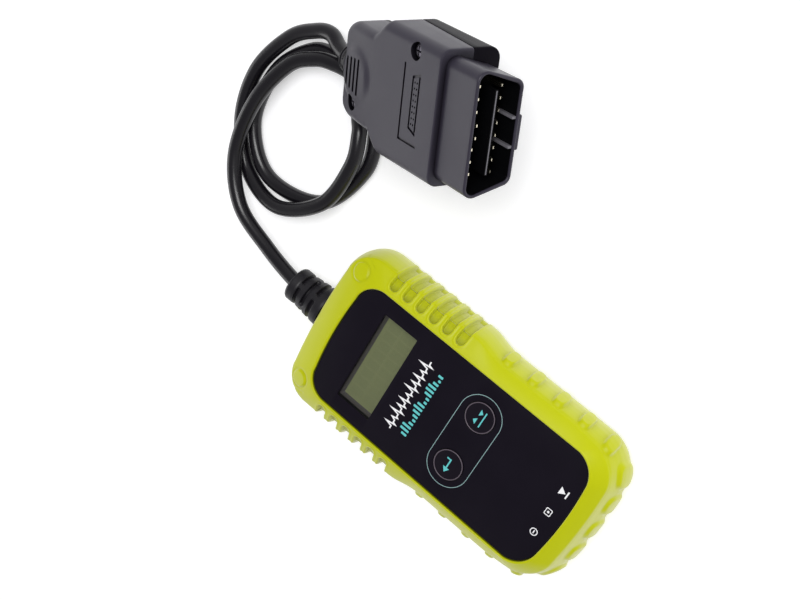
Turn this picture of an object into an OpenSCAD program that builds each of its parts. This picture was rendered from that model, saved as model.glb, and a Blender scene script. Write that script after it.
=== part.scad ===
// Handheld vehicle diagnostic code reader: a keypad unit in a rubber boot, a coiled-up
// cable and a 16-way diagnostic plug. Millimetres, +Z up, +Y towards the cable end.
// Origin: middle of the reader's back, on the surface that it lies on.

/* [Reader body] */
// Length of the reader over its boot
reader_len = 129; // [127:0.5:131]
// Width of the upper half, which the hand grips
grip_w = 69.8; // [69:0.1:72]
// Width of the lower half, below the waist
lower_w = 65.2; // [64.5:0.1:67]
// Height of the front edge of the boot above the back
reader_h = 22.9; // [22.7:0.1:23.4]
// Thickness of the rubber boot's side wall
boot_wall = 2.2; // [1.8:0.1:2.4]
// Height where the front and rear shells meet
split_z = 11.5; // [11.5]

/* [Front panel] */
// Width of the black front panel
panel_w = 50.8; // [50:0.1:51.5]
// Top end of the panel
panel_top = 52.8; // [52:0.1:53]
// Bottom end of the panel
panel_bottom = -54.4; // [-54.6:0.1:-54]
// Middle of the display window along the reader
window_y = 31.65; // [31:0.05:32]
// Display window width
window_w = 38.3; // [36:0.1:39]
// Display window height
window_h = 15.3; // [14:0.1:16]

/* [Keys] */
// Distance between the middles of the two keys
key_pitch = 22.8; // [22:0.1:23]
// Place of the keys along the reader
key_y = -10.3; // [-11:0.1:-10]
// Radius of a key
key_r = 5.9; // [5.5:0.1:6]
// Distance that a key travels when pressed
key_travel = 0.35; // [0.2:0.05:0.35]

/* [Cable] */
// Outside diameter of the cable
cable_d = 5.8; // [5:0.1:5.8]
// Angle that each strain relief lets the cable sway
sway_angle = 8; // [4:1:9]

/* [Plug] */
// Place of the plug's contact tips on the bench
plug_pos = [104.5, 32.9, 50.8];
// Tilt, roll and heading of the plug
plug_turn = [28.4, 9.7, 200.3];
// Width of the plug's body
plug_w = 44; // [43.5:0.1:44.5]
// Pitch of the contacts in a row
contact_pitch = 4; // [4]
// Distance between the two contact rows
row_gap = 8.23; // [8.2:0.01:8.3]

/* [Hidden] */
$fn = 48;
gap = 0.05;
cable_r = cable_d / 2;
cable_z = 11.5;
sway_y = 69;
neck_r = 4.6;

// ---- heights inside the reader ----
back_z = 1.2;
shell_top = 17.5;
plate_top = 21.8;
plate_t = 2;
board_z = 8;
board_t = 1.6;
part_z = board_z + board_t + gap;
lcd_board_z = 13.6;
window_floor = 20.3;
key_top = 22.6;
key_bottom = 18.85;
key_x = key_pitch / 2;
overlay_z = plate_top + gap;
overlay_t = 0.55;

// ---- back ----
boot_lip = 9;
label_w = 35.6;
label_h = 55.6;
label_y = -2;

// ---- places of the fixings ----
screw_places = [[21.5, 49.5], [-21.5, 49.5], [19.5, -50], [-19.5, -50]];
board_screw_places = [[23.5, 36], [-23.5, 36], [23, -40], [-23, -40]];

// ---- grip details ----
groove_pitch = 6.2;
groove_first = 11;
groove_w = 3.4;
nub_pitch = 11.2;
nub_first = -6.3;
end_nub_pitch = 11.6;
nub_z = 12.8;
end_nub_z = 9;
pad_foot = 1.2;
pad_high = 0.8;
pad_r = 3.5;

// ---- plug, in its own frame: +Y out of the mouth, origin between the contact tips ----
plug_front = -12;
plug_shoulder = -48;
plug_rear = -74;
plug_top = 11;
plug_under = -10.5;
tail_top = 8.6;
tail_under = -5.5;
tail_w = 33.6;
rim_y = 4.9;
mouth_wide = 42.6;
mouth_narrow = 33.1;
mouth_h = 17.8;
rib_x = 4.8;
blade_half = 13.6;
blade_tip = 3.3;
floor_y = -9;
relief_z = 1.5;
plug_wall = 1.8;
swivel_y = -77;

// ================= shared shapes =================

// Points of an arc from angle a0 to a1
function arc(c, r, a0, a1, n = 8) =
    [for (i = [0:n]) let (a = a0 + (a1 - a0) * i / n) c + r * [cos(a), sin(a)]];

// The same points on the other side of the middle line, in reverse order
function flipped(p) = [for (i = [len(p) - 2:-1:1]) [-p[i][0], p[i][1]]];

// Right half of the reader's outline, from the bottom end to the cable end, drawn in by
// `inset` all round. Both ends bow outwards a little and the waist narrows smoothly.
function reader_half(inset) = let (
        hg = grip_w / 2 - inset,
        hl = lower_w / 2 - inset,
        end = reader_len / 2 - inset,
        bow = 2.2,
        rb = max(14 - inset, 2),
        rt = max(12 - inset, 2))
    concat(
        [for (i = [0:4]) let (x = (hl - rb) * i / 5) [x, -end + bow * pow(x / (hl - rb), 2)]],
        arc([hl - rb, -end + bow + rb], rb, -90, 0),
        [for (i = [0:4]) let (t = i / 4) [hl + (hg - hl) * (1 - cos(180 * t)) / 2, -4 + 10 * t]],
        arc([hg - rt, end - bow - rt], rt, 0, 90),
        [for (i = [4:-1:0]) let (x = (hg - rt) * i / 5) [x, end - bow * pow(x / (hg - rt), 2)]]);

function reader_outline(inset) = concat(reader_half(inset), flipped(reader_half(inset)));

// Outline of the panel and its opening, drawn in by `inset`
function panel_half(inset) = let (
        hw = panel_w / 2 - inset,
        yt = panel_top - inset,
        yb = panel_bottom + inset,
        r = 8 - inset,
        bow = 2)
    concat(
        [for (i = [0:3]) let (x = (hw - r) * i / 4) [x, yb + bow * pow(x / (hw - r), 2)]],
        arc([hw - r, yb + bow + r], r, -90, 0, 6),
        arc([hw - r, yt - bow - r], r, 0, 90, 6),
        [for (i = [3:-1:0]) let (x = (hw - r) * i / 4) [x, yt - bow * pow(x / (hw - r), 2)]]);

function panel_outline(inset) = concat(panel_half(inset), flipped(panel_half(inset)));

// A slab between two heights
module slab(outline, z0, z1) {
    translate([0, 0, z0]) linear_extrude(z1 - z0) polygon(outline);
}

// A block given by its middle in X and Y, its size in X and Y, and two heights
module block(c, size, z0, z1) {
    translate([c[0] - size[0] / 2, c[1] - size[1] / 2, z0]) cube([size[0], size[1], z1 - z0]);
}

// A round bar along Z
module post(c, r, z0, z1) {
    translate([c[0], c[1], z0]) cylinder(h = z1 - z0, r = r);
}

// A round bar along Y, from y0 to y1, which may taper
module bar_y(x, z, r0, r1, y0, y1) {
    translate([x, y0, z]) rotate([-90, 0, 0]) cylinder(h = y1 - y0, r1 = r0, r2 = r1);
}

// Skin over a stack of rings that have the same number of points
module skin(rings) {
    n = len(rings[0]);
    m = len(rings);
    points = [for (ring = rings) each ring];
    sides = [for (i = [0:m - 2], j = [0:n - 1]) let (
            a = i * n + j,
            b = i * n + (j + 1) % n)
        each [[a, a + n, b], [b, a + n, b + n]]];
    ends = [[for (j = [0:n - 1]) j], [for (j = [n - 1:-1:0]) (m - 1) * n + j]];
    polyhedron(points, concat(sides, ends));
}

// Places that are the same on both sides of the reader
module both_sides() {
    children();
    mirror([1, 0, 0]) children();
}

// ================= reader: boot and shells =================

module rubber_boot() color("#c8d422") {
    levels = [[0, 2.4], [1.4, 0.8], [4.1, 0], [18.8, 0], [21.9, 3.6], [reader_h, 6.6]];
    difference() {
        union() {
            skin([for (l = levels) [for (p = reader_outline(l[1])) [p[0], p[1], l[0]]]]);
            both_sides() side_nubs();
            end_nubs();
        }
        slab(reader_outline(boot_wall), back_z - 0.1, shell_top + 0.1);
        slab(panel_outline(-0.2), shell_top, reader_h + 1);
        slab(reader_outline(boot_lip), -1, back_z);
        both_sides() grip_grooves();
        bar_y(0, cable_z, neck_r + 0.2, neck_r + 0.2, 50, 70);
    }
}

// Channels that run over the edge and down the side wall
module grip_grooves() {
    side = grip_w / 2;
    cut = [[28.6, reader_h + 1], [28.6, 20.6], [side - 1.3, 18], [side - 1.3, 5], [side + 2, 5],
        [side + 2, reader_h + 1]];
    for (i = [0:5]) translate([0, groove_first + i * groove_pitch + groove_w / 2, 0])
        rotate([90, 0, 0]) linear_extrude(groove_w) polygon(cut);
}

// Low round pads below the waist and on the bottom end, each with its foot inside the wall
module pad() {
    cylinder(h = pad_foot + pad_high, r1 = pad_r + 0.7, r2 = pad_r - 0.5);
}

module side_nubs() {
    for (i = [0:4])
        translate([lower_w / 2 - pad_foot, nub_first - i * nub_pitch, nub_z]) rotate([0, 90, 0]) pad();
}

module end_nubs() {
    for (i = [-1:1])
        translate([i * end_nub_pitch, pad_foot - reader_len / 2, end_nub_z]) rotate([90, 0, 0]) pad();
}

module rear_shell() color("#1c1b20") {
    difference() {
        union() {
            difference() {
                slab(reader_outline(boot_wall + 0.1), back_z, split_z);
                slab(reader_outline(boot_wall + 2.1), back_z + 2, split_z + 1);
            }
            slab(reader_outline(boot_lip + gap), 0, back_z + 0.1);
            for (p = screw_places) post(p, 3.2, back_z + 1, split_z);
            for (p = board_screw_places) post(p, 2.6, back_z + 1, board_z - gap);
        }
        for (p = screw_places) {
            post(p, 1.5, -1, split_z + 1);
            post(p, 2.9, -1, back_z + 1.6);
        }
        for (p = board_screw_places) post(p, 0.9, back_z + 2.5, board_z);
        bar_y(0, cable_z, neck_r + 0.1, neck_r + 0.1, 50, 70);
        block([0, label_y], [label_w + 0.4, label_h + 0.4], -1, 0.25);
    }
}

module front_shell() color("#1c1b20") {
    difference() {
        union() {
            difference() {
                union() {
                    slab(reader_outline(boot_wall + 0.1), split_z + gap, shell_top);
                    slab(panel_outline(0.1), shell_top - 0.1, plate_top);
                }
                slab(reader_outline(boot_wall + 2.1), split_z - 1, shell_top - plate_t);
                slab(panel_outline(2.1), split_z - 1, plate_top - plate_t);
            }
            for (p = screw_places) post(p, 3.2, split_z + gap, shell_top - plate_t + 0.5);
        }
        for (p = screw_places) post(p, 1.1, 0, shell_top - 2.5);
        block([0, window_y], [41, 18], window_floor, plate_top + 1);
        block([0, window_y], [38.6, 15.8], 15, plate_top + 1);
        for (s = [-1, 1]) post([s * key_x, key_y], key_r + 0.1, 15, plate_top + 1);
        bar_y(0, cable_z, neck_r + 0.1, neck_r + 0.1, 50, 70);
    }
}

module front_overlay() color("#1b1820") {
    difference() {
        slab(panel_outline(0.35), overlay_z, overlay_z + overlay_t);
        block([0, window_y], [window_w, window_h], overlay_z - 1, overlay_z + 1);
        for (s = [-1, 1]) post([s * key_x, key_y], key_r + 0.25, overlay_z - 1, overlay_z + 1);
    }
}

module rear_label() color("#c9c9c4") {
    block([0, label_y], [label_w, label_h], 0, 0.22);
}

module display_window() color([0.55, 0.58, 0.5, 0.5]) {
    block([0, window_y], [40.8, 17.8], window_floor + gap, window_floor + 0.7);
}

// ================= reader: electronics =================

module lcd_glass() color("#70735a") {
    block([0, window_y], [40, 17.2], lcd_board_z + board_t + 0.1, lcd_board_z + board_t + 3);
}

module lcd_frame() color("#9a9ca0") {
    base = lcd_board_z + board_t + gap;
    difference() {
        block([0, window_y], [44, 21], base, base + 3.8);
        block([0, window_y], [40.6, 17.8], base - 1, base + 3.2);
        block([0, window_y], [38, 15.2], base, base + 5);
    }
}

module lcd_board() color("#1f5c35") {
    block([0, window_y], [52, 27.4], lcd_board_z, lcd_board_z + board_t);
}

module lcd_header() color("#2a2a2c") {
    pin_step = 2.54;
    row_y = window_y - 12;
    block([0, row_y], [16 * pin_step, 2.5], part_z, part_z + 2.5);
    for (i = [0:15]) block([(i - 7.5) * pin_step, row_y], [0.64, 0.64], part_z + 2, lcd_board_z - gap);
}

module main_board() color("#1f5c35") {
    difference() {
        block([0, -1.5], [55, 89], board_z, board_z + board_t);
        for (p = board_screw_places) post(p, 1.4, board_z - 1, board_z + 3);
    }
}

// A round key with a domed face and a flange that the front plate holds in
module key(x) {
    translate([x, key_y, 0]) {
        intersection() {
            post([0, 0], key_r, key_bottom, key_top);
            translate([0, 0, key_top - 40]) sphere(r = 40, $fn = 96);
        }
        post([0, 0], key_r + 1.1, key_bottom, plate_top - plate_t - 0.1);
    }
}

module left_key() color("#2b2930") key(-key_x);

module right_key() color("#2b2930") key(key_x);

module switch_bodies() color("#4a4a4e") {
    for (s = [-1, 1]) difference() {
        block([s * key_x, key_y], [6.2, 6.2], part_z, part_z + 3.6);
        post([s * key_x, key_y], 1.8, part_z + 0.4, part_z + 5);
    }
}

// Stem of a key switch
module plunger(x) {
    post([x, key_y], 1.7, part_z + 0.55 + key_travel, key_bottom - gap);
}

module left_plunger() color("#d8d4c8") plunger(-key_x);

module right_plunger() color("#d8d4c8") plunger(key_x);

module microcontroller() color("#202022") {
    block([0, -32], [12, 12], part_z + 0.1, part_z + 1.6);
    block([0, -32], [14.4, 9.6], part_z, part_z + 0.3);
    block([0, -32], [9.6, 14.4], part_z, part_z + 0.3);
}

module bus_transceiver() color("#202022") {
    block([-14, 30], [8.6, 3.9], part_z + 0.1, part_z + 1.6);
    block([-14, 30], [7.6, 6], part_z, part_z + 0.3);
}

module voltage_regulator() color("#202022") {
    block([13, 31], [6.6, 6.2], part_z, part_z + 2.3);
}

module capacitors() color("#3a3f52") {
    for (x = [-18, 18]) post([x, -26], 3, part_z, part_z + 5.4);
}

module crystal() color("#b9bcc0") {
    block([0, -16], [11, 4.6], part_z, part_z + 3.4);
}

module cable_header() color("#dcdad0") {
    block([0, 38], [10.5, 4.8], part_z, part_z + 3.6);
}

module harness_leads() color("#b03030") {
    for (i = [-1.5:1.5]) bar_y(i * 1.25, cable_z, 0.5, 0.5, 38 + 2.4 + gap, 47.95);
}

module board_screws() color("#b0b2b4") {
    for (p = board_screw_places) {
        post(p, 0.85, back_z + 3, part_z + 0.5);
        post(p, 2, part_z, part_z + 1.3);
    }
}

module shell_screws() color("#8d8f92") {
    for (p = screw_places) {
        difference() {
            post(p, 2.7, back_z + 0.25, back_z + 1.55);
            block(p, [3.2, 0.7], 0, back_z + 0.9);
            block(p, [0.7, 3.2], 0, back_z + 0.9);
        }
        post(p, 1.05, back_z + 1.5, shell_top - 3);
    }
}

// ================= reader: cable anchor =================

// End of the jacket inside the shells
module cable_entry() color("#17171a") {
    bar_y(0, cable_z, cable_r, cable_r, 48, sway_y - 3.1);
}

module cable_tie() color("#e6e4dc") {
    difference() {
        bar_y(0, cable_z, cable_r + 1.3, cable_r + 1.3, 51, 53.5);
        bar_y(0, cable_z, cable_r + gap, cable_r + gap, 50, 55);
    }
}

// Grommet with a flange inside the shells and a ribbed tail. Its bore widens beyond
// sway_y, so that the cable can sway in it.
module reader_strain_relief() color("#1d1c20") {
    tip_y = 80.5;
    root_y = reader_len / 2 + 0.1;
    flare = cable_r + 0.25 + (tip_y - sway_y) * tan(sway_angle + 1);
    difference() {
        union() {
            block([0, 58.6], [14, 2], cable_z - 6, shell_top - plate_t - 0.1);
            bar_y(0, cable_z, neck_r, neck_r, 59, root_y + 0.2);
            bar_y(0, cable_z, 7.8, 6.5, root_y, tip_y);
        }
        bar_y(0, cable_z, cable_r + gap, cable_r + gap, 50, sway_y);
        bar_y(0, cable_z, cable_r + 0.2, flare, sway_y - 0.5, tip_y + 0.1);
        for (i = [0:2]) translate([0, root_y + 3.6 + i * 3.8, cable_z]) rotate([-90, 0, 0])
            difference() {
                cylinder(h = 1.4, r = 9);
                cylinder(h = 1.4, r = 6.6 - i * 0.4);
            }
    }
}

// ================= cable =================

// Way-points of the cable on the bench: it leaves the reader, makes two turns that lie
// on and under each other, and rises into the plug
cable_route = [
    [0, 81, 11.3],
    // first turn, which starts on top of the others and drops to the bench beyond the plug
    [2.7, 99, 9.7], [9.3, 118, 9.4], [25.5, 130, 9.6], [48, 132.1, 10.2], [67.2, 126.6, 9.5],
    [75.3, 118.1, 9.1], [78.3, 110.4, 9], [79.3, 102.3, 8.7], [77.1, 95.2, 7.2], [74.2, 90.3, 4.6],
    [66, 85.9, 3.1], [50.1, 81.5, 3.1], [28.8, 91.2, 3.1], [23.7, 116, 3.2],
    // second turn, which passes under the first one and then rises over it
    [38.4, 132.4, 3.3], [60.7, 133.4, 3.1], [75.7, 123.6, 3.1], [78.7, 113.1, 3.1],
    [76.2, 103.5, 3.1], [71.4, 97.4, 3.9], [66.8, 92.5, 6.8], [62.4, 88, 9.2], [50.5, 84.6, 9.4],
    [31.7, 87.7, 9.4], [17.6, 105.2, 7.1], [20.9, 126, 3.4],
    // outermost pass, up to the plug
    [36.9, 138.4, 3.2], [56.8, 140.7, 4.4], [75.2, 133, 6.3], [83.9, 123.6, 7.6], [86.6, 117, 8.8],
    [85.1, 110.8, 10.6],
    plug_point([0, -84.2, relief_z]),
    plug_point([0, -80.8, relief_z])
];
cable_steps = 7;
cable_sides = 12;

// A point of the smooth curve through the way-points, at fraction t after point i
function route_point(w, i, t) = let (
        p1 = w[i],
        p2 = w[i + 1],
        p0 = i > 0 ? w[i - 1] : 2 * p1 - p2,
        p3 = i + 2 < len(w) ? w[i + 2] : 2 * p2 - p1)
    0.5 * (2 * p1 + (p2 - p0) * t + (2 * p0 - 5 * p1 + 4 * p2 - p3) * t * t
        + (3 * p1 - p0 - 3 * p2 + p3) * t * t * t);

// A ring of points round p, square to the direction d
function ring_at(p, d, r) = let (
        u = d / norm(d),
        side = cross([0, 0, 1], u) / norm(cross([0, 0, 1], u)),
        up = cross(u, side))
    [for (k = [0:cable_sides - 1]) let (a = 360 * k / cable_sides)
        p + r * cos(a) * side - r * sin(a) * up];

// The plug's frame, for the cable's end
function turned(v, a) = let (
        x = [v[0], v[1] * cos(a[0]) - v[2] * sin(a[0]), v[1] * sin(a[0]) + v[2] * cos(a[0])],
        y = [x[0] * cos(a[1]) + x[2] * sin(a[1]), x[1], x[2] * cos(a[1]) - x[0] * sin(a[1])])
    [y[0] * cos(a[2]) - y[1] * sin(a[2]), y[0] * sin(a[2]) + y[1] * cos(a[2]), y[2]];

function plug_point(v) = plug_pos + turned(v, plug_turn);

module cable() color("#141417") {
    first = [0, sway_y, cable_z];
    last = plug_point([0, swivel_y, relief_z]);
    way = concat([first], cable_route, [last]);
    curve = concat(
        [for (i = [0:len(way) - 2], k = [0:cable_steps - 1]) route_point(way, i, k / cable_steps)],
        [last]);
    n = len(curve);
    start_dir = [0, 1, 0];
    end_dir = turned([0, 1, 0], plug_turn);
    dirs = [for (i = [0:n - 1]) i == 0 ? start_dir : i == n - 1 ? end_dir : curve[i + 1] - curve[i - 1]];
    tips = [for (a = [75, 50, 25]) a];
    skin(concat(
        [for (a = tips) ring_at(first - cable_r * sin(a) * start_dir, start_dir, cable_r * cos(a))],
        [for (i = [0:n - 1]) ring_at(curve[i], dirs[i], cable_r)],
        [for (a = [25, 50, 75]) ring_at(last + cable_r * sin(a) * end_dir, end_dir, cable_r * cos(a))]));
}

// ================= plug =================

// Places its children in the plug's frame
module in_plug() {
    translate(plug_pos) rotate(plug_turn) children();
}

// Right half of the plug body's outline seen from above, drawn in by `inset`
function plug_half(inset) = let (
        h = plug_w / 2 - inset,
        t = tail_w / 2 - inset)
    concat(
        arc([t - 5, plug_rear + 5 + inset], 5, -90, 0, 5),
        [[t + 0.8, plug_shoulder - 3], [h, plug_shoulder + 4], [h, plug_front - inset]]);

function plug_outline(inset) = concat(plug_half(inset),
    [for (i = [len(plug_half(inset)) - 1:-1:0]) [-plug_half(inset)[i][0], plug_half(inset)[i][1]]]);

// Side view of the plug body as Y, Z points, drawn in by `inset`
function plug_side(inset) = [
    [plug_rear - 1, tail_under + inset], [plug_shoulder - 8, tail_under + inset],
    [plug_shoulder + 2, plug_under + inset], [plug_front + 1, plug_under + inset],
    [plug_front + 1, plug_top - inset], [plug_shoulder, plug_top - inset],
    [plug_rear - 1, tail_top - inset]];

// Plug body drawn in by `inset`: its outline from above, cut to its side view
module plug_form(inset) {
    intersection() {
        translate([0, 0, plug_under - 1]) linear_extrude(plug_top - plug_under + 2)
            polygon(plug_outline(inset));
        translate([-plug_w, 0, 0]) rotate([90, 0, 90]) linear_extrude(2 * plug_w)
            polygon(plug_side(inset));
    }
}

// Mouth of the connector, wider on its upper side, grown by `grow`
function mouth(grow) = let (
        w = mouth_wide / 2 + grow,
        n = mouth_narrow / 2 + grow,
        h = mouth_h / 2 + grow)
    [[-n, -h], [n, -h], [w, h], [-w, h]];

// Whole hollow body with its screw bosses, before it is parted
module plug_body() {
    difference() {
        union() {
            difference() {
                plug_form(0);
                plug_form(plug_wall);
            }
            intersection() {
                plug_form(0.6);
                for (p = plug_screw_places) post(p, 4.2, plug_under, plug_top);
            }
        }
        translate([0, plug_front - 6, 0]) rotate([-90, 0, 0]) linear_extrude(20)
            mirror([0, 1, 0]) polygon(mouth(0.1));
        bar_y(0, relief_z, 4.1, 4.1, plug_rear - 5, plug_rear + 4);
        for (p = plug_screw_places) {
            post(p, 2.9, screw_seat, plug_top + 1);
            post(p, 1.3, 0, plug_top);
            post(p, 1, tail_under + 2, 1);
        }
        for (i = [0:3]) block([0, -68 + i * 2.95], [10.4 + i * 0.8, 1.1], tail_top - 0.6, plug_top + 1);
    }
}

plug_screw_places = [[-17.4, -26.5], [10.2, -64.3]];
screw_seat = 7.6;

// Half of the plug's body above or below its parting line
module plug_half_space(upper) {
    z = upper ? gap / 2 : -30 - gap / 2;
    translate([-40, -100, z]) cube([80, 120, 30]);
}

module plug_upper_shell() color("#3b3940") in_plug() {
    intersection() {
        plug_body();
        plug_half_space(true);
    }
}

module plug_lower_shell() color("#3b3940") in_plug() {
    intersection() {
        plug_body();
        plug_half_space(false);
    }
}

// Shroud of the connector, its floor, the blade between the rows and the locking rib
module connector_insert() color("#232228") in_plug() {
    wall = 1.2;
    difference() {
        union() {
            mouth_prism(0, -16, rim_y);
            block([0, (plug_front + rim_y) / 2 + 0.5], [10.6, rim_y - plug_front - 1],
                -mouth_h / 2 - 1.7, -mouth_h / 2 + 1);
            mouth_prism(-1.6, -19, -15.9);
        }
        mouth_prism(-wall, floor_y, rim_y + 1);
        for (p = contact_places()) translate([p[0], -20, p[1]])
            translate([-0.8, 0, -0.45]) cube([1.6, 20, 0.9]);
    }
    block([0, (floor_y + blade_tip) / 2 - 0.2], [2 * blade_half, blade_tip - floor_y + 0.4], -0.6, 0.6);
    for (x = [-rib_x, rib_x])
        block([x, (floor_y + rim_y) / 2 - 0.4], [0.9, rim_y - floor_y], -mouth_h / 2 + 0.9, -6.3);
}

module mouth_prism(grow, y0, y1) {
    translate([0, y0, 0]) rotate([-90, 0, 0]) linear_extrude(y1 - y0)
        mirror([0, 1, 0]) polygon(mouth(grow));
}

function contact_places() =
    [for (z = [-1, 1], i = [-3.5:3.5]) [i * contact_pitch, z * row_gap / 2]];

module contact_pins() color("#d9c890") in_plug() {
    for (p = contact_places()) translate([p[0] - 0.75, -19.5, p[1] - 0.4]) cube([1.5, 19.5, 0.8]);
}

module plug_leads() color("#b03030") in_plug() {
    for (i = [-1.5:1.5]) bar_y(i * 1.25, relief_z, 0.5, 0.5, -57.9, -20);
}

module plug_cable_entry() color("#17171a") in_plug() {
    bar_y(0, relief_z, cable_r, cable_r, swivel_y + 3.1, -58);
}

// Grommet held in the plug's tail, with a ribbed part outside and a widening bore
module plug_strain_relief() color("#1d1c20") in_plug() {
    tip = -82.2;
    outside = plug_rear - 0.1;
    flare = cable_r + 0.25 + (swivel_y - tip) * tan(sway_angle + 1);
    difference() {
        union() {
            bar_y(0, relief_z, 5, 5, plug_rear + 2, plug_rear + 4);
            bar_y(0, relief_z, 4, 4, outside - 0.2, plug_rear + 3);
            bar_y(0, relief_z, 4.8, 6, tip, outside);
        }
        bar_y(0, relief_z, cable_r + gap, cable_r + gap, swivel_y, -60);
        bar_y(0, relief_z, flare, cable_r + 0.2, tip - 0.1, swivel_y + 0.5);
    }
}

module plug_screws() color("#8d8f92") in_plug() {
    for (p = plug_screw_places) {
        post(p, 2.6, screw_seat + gap, screw_seat + 1.5);
        post(p, 0.95, tail_under + 2.3, screw_seat + 1);
    }
}

// ================= parts list =================

rubber_boot();
front_shell();
rear_shell();
front_overlay();
display_window();
lcd_glass();
lcd_frame();
lcd_board();
lcd_header();
main_board();
left_key();
right_key();
switch_bodies();
left_plunger();
right_plunger();
microcontroller();
bus_transceiver();
capacitors();
crystal();
voltage_regulator();
cable_header();
harness_leads();
cable_entry();
cable_tie();
reader_strain_relief();
shell_screws();
board_screws();
rear_label();
cable();
plug_upper_shell();
plug_lower_shell();
connector_insert();
contact_pins();
plug_leads();
plug_cable_entry();
plug_strain_relief();
plug_screws();
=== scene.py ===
import math

import bmesh
import bpy
import numpy as np
from mathutils import Matrix, Vector


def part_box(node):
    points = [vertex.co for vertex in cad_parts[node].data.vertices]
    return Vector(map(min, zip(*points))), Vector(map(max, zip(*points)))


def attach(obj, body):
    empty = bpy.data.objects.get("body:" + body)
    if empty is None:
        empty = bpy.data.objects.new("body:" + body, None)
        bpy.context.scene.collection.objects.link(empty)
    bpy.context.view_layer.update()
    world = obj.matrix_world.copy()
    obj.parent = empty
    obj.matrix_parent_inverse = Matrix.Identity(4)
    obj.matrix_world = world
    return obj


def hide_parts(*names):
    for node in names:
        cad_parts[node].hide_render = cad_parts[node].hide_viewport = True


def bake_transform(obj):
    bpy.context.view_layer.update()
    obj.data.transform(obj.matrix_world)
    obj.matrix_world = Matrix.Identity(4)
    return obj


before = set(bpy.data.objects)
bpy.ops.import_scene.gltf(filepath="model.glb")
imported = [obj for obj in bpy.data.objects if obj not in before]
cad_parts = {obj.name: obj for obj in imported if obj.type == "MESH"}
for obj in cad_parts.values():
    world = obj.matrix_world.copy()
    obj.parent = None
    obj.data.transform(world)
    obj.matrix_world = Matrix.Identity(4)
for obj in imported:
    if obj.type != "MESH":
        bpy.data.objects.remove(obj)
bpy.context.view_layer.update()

MM = 0.001

# =====================================================================
# Driving dimensions, in millimetres in the shared frame
# =====================================================================
film_lo, film_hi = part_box("front_overlay")
READER_LEN = 129.0
GRIP_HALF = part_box("rubber_boot")[1].x / MM
LOWER_HALF = 32.6
FILM_Z = film_hi.z / MM
FILM_LOW_Z = film_lo.z / MM
WINDOW_Y = 31.65
WINDOW_W, WINDOW_H = 38.3, 15.3
WINDOW_ROUND = 0.35
KEY_X, KEY_Y, KEY_R = 11.4, -10.3, 5.9
KEY_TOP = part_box("left_key")[1].z / MM
CABLE_R = 2.9
CABLE_Z = 11.5
SWAY_Y = 69.0
PLUG_POS = np.array([104.5, 32.9, 50.8])
PLUG_TURN = np.radians([28.4, 9.7, 200.3])


# =====================================================================
# Mesh helpers
# =====================================================================
def finish_mesh(name, mesh, material, smooth=True):
    """Links a mesh as an object with one material."""
    obj = bpy.data.objects.new(name, mesh)
    bpy.context.scene.collection.objects.link(obj)
    mesh.materials.clear()
    mesh.materials.append(material)
    mesh.polygons.foreach_set("use_smooth", [smooth] * len(mesh.polygons))
    mesh.update()
    return obj


def mesh_from(name, points, faces, material, smooth=True):
    """An object from points in millimetres and faces."""
    mesh = bpy.data.meshes.new(name)
    mesh.from_pydata([tuple(p) for p in np.asarray(points, float) * MM], [], [tuple(f) for f in faces])
    return finish_mesh(name, mesh, material, smooth)


def grid_faces(rows, cols, wrap_rows=False):
    """Quads over a grid whose columns close on themselves."""
    i = np.arange(rows if wrap_rows else rows - 1)[:, None]
    j = np.arange(cols)[None, :]
    a = i * cols + j
    b = i * cols + (j + 1) % cols
    c = ((i + 1) % rows) * cols + (j + 1) % cols
    d = ((i + 1) % rows) * cols + j
    return np.stack([a, b, c, d], axis=-1).reshape(-1, 4).tolist()


def loft(name, rings, material, caps=(False, False), wrap=False):
    """A skin over rings of equal length, each an (n, 3) array in millimetres."""
    rings = np.asarray(rings, float)
    rows, cols = rings.shape[:2]
    faces = grid_faces(rows, cols, wrap)
    if caps[0]:
        faces.append(list(range(cols))[::-1])
    if caps[1]:
        faces.append(list(range((rows - 1) * cols, rows * cols)))
    return mesh_from(name, rings.reshape(-1, 3), faces, material)


def full_turn(sides):
    """Angles evenly round a circle, in radians."""
    return np.linspace(0, 2 * math.pi, sides, endpoint=False)


def at_height(flat, z):
    """A flat outline of X, Y points as a ring at a height."""
    return np.column_stack([flat, np.full(len(flat), float(z))])


def turned_ring(radius, angles, z):
    """A ring about Z, whose radius may differ from angle to angle."""
    return at_height(np.column_stack([radius * np.cos(angles), radius * np.sin(angles)]), z)


def lathe(name, profile, material, place, sides=96):
    """Turns a profile of (radius, height) about Z, then places it with a 4x4 matrix."""
    rings = np.array([turned_ring(r, full_turn(sides), h) for r, h in profile])
    return clean(loft(name, transformed(rings, place), material))


def transformed(points, matrix):
    """Points (..., 3) in millimetres through a 4x4 numpy matrix."""
    return points @ matrix[:3, :3].T + matrix[:3, 3]


def shifted(x, y, z=0.0):
    """The 4x4 matrix of a move."""
    place = np.eye(4)
    place[:3, 3] = (x, y, z)
    return place


def clean(obj, merge=0.0005):
    """Welds doubled points, drops faces without area, and turns the faces outwards."""
    bm = bmesh.new()
    bm.from_mesh(obj.data)
    bmesh.ops.remove_doubles(bm, verts=bm.verts, dist=merge * MM * 4)
    bmesh.ops.dissolve_degenerate(bm, edges=bm.edges, dist=merge * MM)
    bmesh.ops.recalc_face_normals(bm, faces=bm.faces)
    bm.to_mesh(obj.data)
    bm.free()
    obj.data.update()
    return obj


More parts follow.
